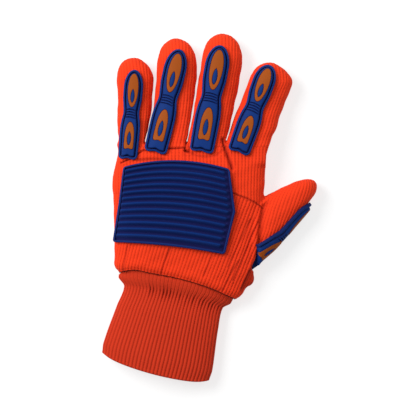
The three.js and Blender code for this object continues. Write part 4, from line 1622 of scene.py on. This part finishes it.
def flex_cutter(width, length, number):
    """A bowed bar that cuts one of the grooves across the waist."""
    middle = FLEX["at"] * length + (number - (FLEX["count"] - 1) / 2) * FLEX["pitch"]
    half = guard_half(width, length, middle) - RIM_WIDTH - GROOVE_WIDTH + 0.1
    turn = np.arange(10) / 10 * 2 * math.pi
    rings = []
    for share in np.linspace(-0.98, 0.98, 11):
        radius = FLEX["radius"] * (1 - share**6) ** 0.5
        v = middle + FLEX["bow"] * (1 - share**2) - 0.5 * share
        rings.append(np.column_stack([
            np.full(10, share * half), v + radius * 0.85 * np.cos(turn),
            BODY_HEIGHT + radius * 2.3 * np.sin(turn),
        ]))
    points, faces = loft(rings, False)
    bar = new_object("flex_bar", points, faces)
    face_outwards(bar)
    return bar


def lay(obj, wrap, crown_of, top):
    """Lays a flat rubber piece over the fabric and keeps its relief for the material, which paints
    shade where it is low.
    """
    u, v, h = coordinates(obj.data).T
    set_floats(obj.data, "relief", np.clip((h - GROOVE_HEIGHT) / (top - GROOVE_HEIGHT), 0, 1))
    crown = CROWN * np.clip(1 - (u / crown_of) ** 2, 0, 1) * np.clip(h / BODY_HEIGHT, 0, 1)
    set_coordinates(obj.data, wrap.at(u, v, GUARD_GAP + h + crown))
    face_outwards(obj)


class GLOVE_OT_guards(bpy.types.Operator):
    """Moulds the rubber guards with a rim, a raised body, pockets and flex grooves"""

    bl_idname = "glove.guards"
    bl_label = "Finger guards"

    def execute(self, context):
        for name, guard in GUARDS.items():
            length, wrap = guard_wrap(name)
            width = guard["width"]
            body = stack(f"{name}_guard_rubber", guard_levels(width, length))
            for pad in pads_of(name).values():
                outline = functools.partial(pad_outline, width, length, pad)
                combine(body, stack("pocket", [
                    (outline(PAD_GAP), POCKET_FLOOR), (outline(PAD_GAP), BODY_HEIGHT - 0.25),
                    (outline(PAD_GAP + 0.22), BODY_HEIGHT + 0.02),
                    (outline(PAD_GAP + 0.22), CUTTER_TOP),
                ]), "DIFFERENCE")
                window = functools.partial(window_outline, width, length, pad)
                combine(body, stack("island", [
                    (window(-PAD_GAP), POCKET_FLOOR - 1), (window(-PAD_GAP), BODY_HEIGHT - 0.3),
                    (window(-PAD_GAP - 0.08), BODY_HEIGHT - 0.12),
                    (window(-PAD_GAP - 0.3), BODY_HEIGHT),
                ]), "UNION")
            for number in range(FLEX["count"]):
                combine(body, flex_cutter(width, length, number), "DIFFERENCE")
            slice_up(body, length)
            # Across the waist the relief is counted up to the body's top, so that the material paints
            # shade in the flex grooves
            u, v, _ = coordinates(body.data).T
            inside = guard_half(width, length, v) - RIM_WIDTH - GROOVE_WIDTH / 2
            flexing = (np.abs(v - FLEX["at"] * length) < 6) & (np.abs(u) < inside)
            lay(body, wrap, width / 2, np.where(flexing, BODY_HEIGHT, RIM_HEIGHT))
            finish(body, guard_rubber(), [f"{name}_guard"], 38)
        return {"FINISHED"}


class GLOVE_OT_pads(bpy.types.Operator):
    """Moulds the brown pads that lie in the guards' pockets"""

    bl_idname = "glove.pads"
    bl_label = "Inset pads"

    def execute(self, context):
        for name, guard in GUARDS.items():
            length, wrap = guard_wrap(name)
            width = guard["width"]
            for kind, pad in pads_of(name).items():
                low, top = POCKET_FLOOR + 0.1, BODY_HEIGHT + PAD_RISE
                levels = [(pad_outline(width, length, pad, 0.0), low)]
                for inward, lift in rounded(0.45, 0.3, 0, 90, 4):
                    levels.append((pad_outline(width, length, pad, -inward), top - 0.3 + lift))
                body = stack(f"{name}_{kind}_pad_rubber", levels)
                window = functools.partial(window_outline, width, length, pad)
                hole = stack("hole", [
                    (window(0.0), 1.0), (window(0.0), top - 0.25), (window(0.12), top - 0.08),
                    (window(0.3), top + 0.02), (window(0.3), CUTTER_TOP),
                ])
                combine(body, hole, "DIFFERENCE")
                slice_up(body, length)
                lay(body, wrap, width / 2, top)
                finish(body, pad_rubber(), [f"{name}_{kind}_pad"], 38)
        return {"FINISHED"}


# The knuckle plate


def plate_wrap():
    """The fabric under the plate, as a wrap over the drawing's own X and Y."""
    xs = np.linspace(-0.45, 0.43, 46) * HAND_WIDTH
    ys = np.linspace(0.18, 0.96, 46) * HAND_LENGTH
    x, y = np.meshgrid(xs, ys, indexing="ij")
    starts = np.stack([x, y, np.full_like(x, RAY_HEIGHT)], 2)
    ways = np.broadcast_to(np.array([0.0, 0.0, -1.0]), starts.shape)
    hits = cast(starts.reshape(-1, 3), ways.reshape(-1, 3))
    heights = np.array([0.0 if hit is None else hit.z for hit in hits]).reshape(x.shape)
    low = np.full_like(x, HAND_THICK - PLATE_WRAP)
    out = np.broadcast_to(np.array([0.0, 0.0, 1.0]), starts.shape)
    return Wrap(xs, ys, np.stack([x, y, np.maximum(heights, low)], 2), out, low)


def plate_places(down, across):
    """Places in the drawing from shares down and across the plate."""
    side = {key: np.interp(down, PLATE_SIDES["at"], PLATE_SIDES[key]) for key in PLATE_SIDES}
    x = side["left_x"] + (side["right_x"] - side["left_x"]) * across
    y = side["left_y"] + (side["right_y"] - side["left_y"]) * across
    y = y + side["bow"] * 4 * across * (1 - across)
    return x * HAND_WIDTH, y * HAND_LENGTH


def plate_height(down_mm, up_mm, left_mm, right_mm, ridge):
    """Height of the plate's face from distances to its four edges and a place between ridges."""
    edge = np.minimum(np.minimum(down_mm, up_mm), np.minimum(left_mm, right_mm))
    bead = PLATE_RIM - 0.9 + 0.9 * np.sqrt(np.clip(1 - (edge / 0.95 - 1) ** 2, 0, 1))
    groove = ease((np.minimum(down_mm, up_mm) - 2.3) / 0.8) * ease((right_mm - 2.5) / 0.9)
    inside = groove * ease((left_mm - 1.9) / 0.4)
    phase = ridge % 1.0
    fall = 0.5 + 0.5 * np.cos(math.pi * (phase - RIDGE_TOP) / (1 - RIDGE_TOP))
    crest = np.where(phase < RIDGE_TOP, ease(phase / RIDGE_TOP), fall)
    ends = ease((right_mm - 3.0) / 3.0) * ease((left_mm - 1.9) / 0.8)
    field = PLATE_VALLEY + (PLATE_RIDGE - PLATE_VALLEY) * crest * ends
    low = PLATE_VALLEY - 0.3
    return np.where(edge < 1.9, bead, low + (field - low) * inside)


def round_corners(a, d):
    """Places on the plate with its corners rounded off, in millimetres."""
    x, y = np.minimum(a, PLATE_WIDE - a), np.minimum(d, PLATE_TALL - d)
    out_x, out_y = np.maximum(PLATE_CORNER - x, 0), np.maximum(PLATE_CORNER - y, 0)
    pull = np.maximum(out_x, out_y) / np.maximum(np.hypot(out_x, out_y), 1e-6)
    cornered = (out_x > 0) & (out_y > 0)
    x = np.where(cornered, PLATE_CORNER - out_x * pull, x)
    y = np.where(cornered, PLATE_CORNER - out_y * pull, y)
    a = np.where(a < PLATE_WIDE / 2, x, PLATE_WIDE - x)
    return a, np.where(d < PLATE_TALL / 2, y, PLATE_TALL - y)


class GLOVE_OT_plate(bpy.types.Operator):
    """Moulds the knuckle plate with its rim and rounded ridges"""

    bl_idname = "glove.plate"
    bl_label = "Knuckle plate"

    def execute(self, context):
        tall, wide = PLATE_TALL, PLATE_WIDE
        rim = np.array([0, 0.12, 0.35, 0.65, 0.95, 1.25, 1.55, 1.8, 1.92, 2.3])
        field = np.linspace(PLATE_BORDER, tall - PLATE_BORDER, PLATE_RIBS * 11 + 1)
        down = np.concatenate([rim, field, tall - rim[::-1]]) / tall
        middle = np.linspace(6.0, wide - 6.0, 60)
        side = np.concatenate([rim, [2.8, 3.3, 3.9, 4.6, 5.3]])
        across = np.concatenate([side, middle, wide - side[::-1]]) / wide
        deselect()
        bpy.ops.mesh.primitive_grid_add(
            x_subdivisions=len(across) - 1, y_subdivisions=len(down) - 1, size=2.0
        )
        plate = bpy.context.object
        plate.name = "knuckle_plate_rubber"
        co = coordinates(plate.data)
        i = np.rint((co[:, 0] + 1) / 2 * (len(across) - 1)).astype(int)
        j = np.rint((1 - co[:, 1]) / 2 * (len(down) - 1)).astype(int)
        a, d = across[i], down[j]
        round_a, round_d = round_corners(a * wide, d * tall)
        x, y = plate_places(round_d / tall, round_a / wide)
        ridge = (d * tall - PLATE_BORDER) / (tall - 2 * PLATE_BORDER) * PLATE_RIBS
        h = plate_height(d * tall, (1 - d) * tall, a * wide, (1 - a) * wide, ridge)
        set_coordinates(plate.data, np.column_stack([x, y, h]))
        select(plate)
        bpy.ops.object.mode_set(mode="EDIT")
        bpy.ops.mesh.select_all(action="SELECT")
        bpy.ops.mesh.extrude_region_move(TRANSFORM_OT_translate={"value": (0, 0, -20)})
        bpy.ops.object.mode_set(mode="OBJECT")
        x, y, h = coordinates(plate.data).T
        h = np.where(h < -5, 0.0, h)
        # The plate's relief, from which the material paints shade in its valleys and groove
        relief = np.clip((h - GROOVE_HEIGHT) / (PLATE_RIDGE - GROOVE_HEIGHT), 0, 1)
        set_floats(plate.data, "relief", relief)
        set_coordinates(plate.data, plate_wrap().at(x, y, PLATE_GAP + h))
        face_outwards(plate)
        finish(plate, guard_rubber(), ["knuckle_plate"], 50)
        return {"FINISHED"}


# The stage


def soft_light(name, place, size, watts):
    """A large area light that looks at the glove."""
    light = bpy.data.lights.new(name, "AREA")
    light.energy, light.size = watts, size
    lamp = placed(name, light)
    lamp.location = place
    lamp.rotation_euler = (-Vector(place)).to_track_quat("-Z", "Y").to_euler()
    lamp.visible_camera = False


class GLOVE_OT_stage(bpy.types.Operator):
    """Sets the camera straight above the glove, the pale floor and the soft lights"""

    bl_idname = "glove.stage"
    bl_label = "Stage"

    def execute(self, context):
        stage = settings().stage
        scene = bpy.context.scene
        scene.view_settings.view_transform = "Standard"
        centre = np.array([*to_drawing((IMAGE / 2, IMAGE / 2)), HAND_THICK / 2]) + OFFSET
        camera = bpy.data.cameras.new("camera")
        camera.sensor_width = 36.0
        camera.lens = camera.sensor_width * stage.distance / (IMAGE * PIXEL * MM)
        camera.clip_end = 100.0
        scene.camera = placed("camera", camera)
        scene.camera.location = Vector(centre * MM) + Vector((0, 0, stage.distance))
        deselect()
        bpy.ops.mesh.primitive_plane_add(size=stage.floor)
        floor = bpy.context.object
        floor.name = "floor"
        material, _, shader = new_material("pale_floor")
        set_shader(shader, {
            "Base Color": (0.3, 0.3, 0.3, 1), "Roughness": 0.9, "Specular IOR Level": 0.0,
            "Emission Color": (1, 1, 1, 1), "Emission Strength": stage.glow,
        })
        floor.data.materials.append(material)
        floor.location.z = -0.0003
        soft_light("key_light", (-0.86, 0.5, 0.98), 0.8, stage.key)
        soft_light("fill_light", (0.75, 0.9, 0.9), 1.0, stage.fill)
        world = bpy.data.worlds.new("studio")
        world.use_nodes = True
        set_shader(world.node_tree.nodes["Background"], {"Color": (1, 1, 1, 1), "Strength": stage.sky})
        scene.world = world
        return {"FINISHED"}


class GLOVE_PT_panel(bpy.types.Panel):
    """Lists the glove's steps and settings"""

    bl_label = "Impact Glove"
    bl_idname = "GLOVE_PT_panel"
    bl_space_type = "VIEW_3D"
    bl_region_type = "UI"
    bl_category = "Glove"

    def draw(self, context):
        for operator in OPERATORS:
            self.layout.operator(operator.bl_idname)
        glove = context.scene.glove
        for group in (glove.knit, glove.rubber, glove.stage):
            box = self.layout.box()
            for name in group.__annotations__:
                box.prop(group, name)


GROUPS = (KnitSettings, RubberSettings, StageSettings, GloveSettings)
OPERATORS = (
    GLOVE_OT_stage, GLOVE_OT_knit, GLOVE_OT_cuff, GLOVE_OT_stitches, GLOVE_OT_plate, GLOVE_OT_guards,
    GLOVE_OT_pads,
)


def register():
    for item in (*GROUPS, *OPERATORS, GLOVE_PT_panel):
        bpy.utils.register_class(item)
    bpy.types.Scene.glove = PointerProperty(type=GloveSettings)


def unregister():
    del bpy.types.Scene.glove
    for item in reversed((*GROUPS, *OPERATORS, GLOVE_PT_panel)):
        bpy.utils.unregister_class(item)


def main():
    """Builds the glove piece by piece."""
    register()
    bpy.ops.glove.stage()
    bpy.ops.glove.knit()
    bpy.ops.glove.cuff()
    bpy.ops.glove.stitches()
    bpy.ops.glove.plate()
    bpy.ops.glove.guards()
    bpy.ops.glove.pads()
    form, _ = fabric_skin()
    delete(form)


if __name__ == "__main__":
    main()
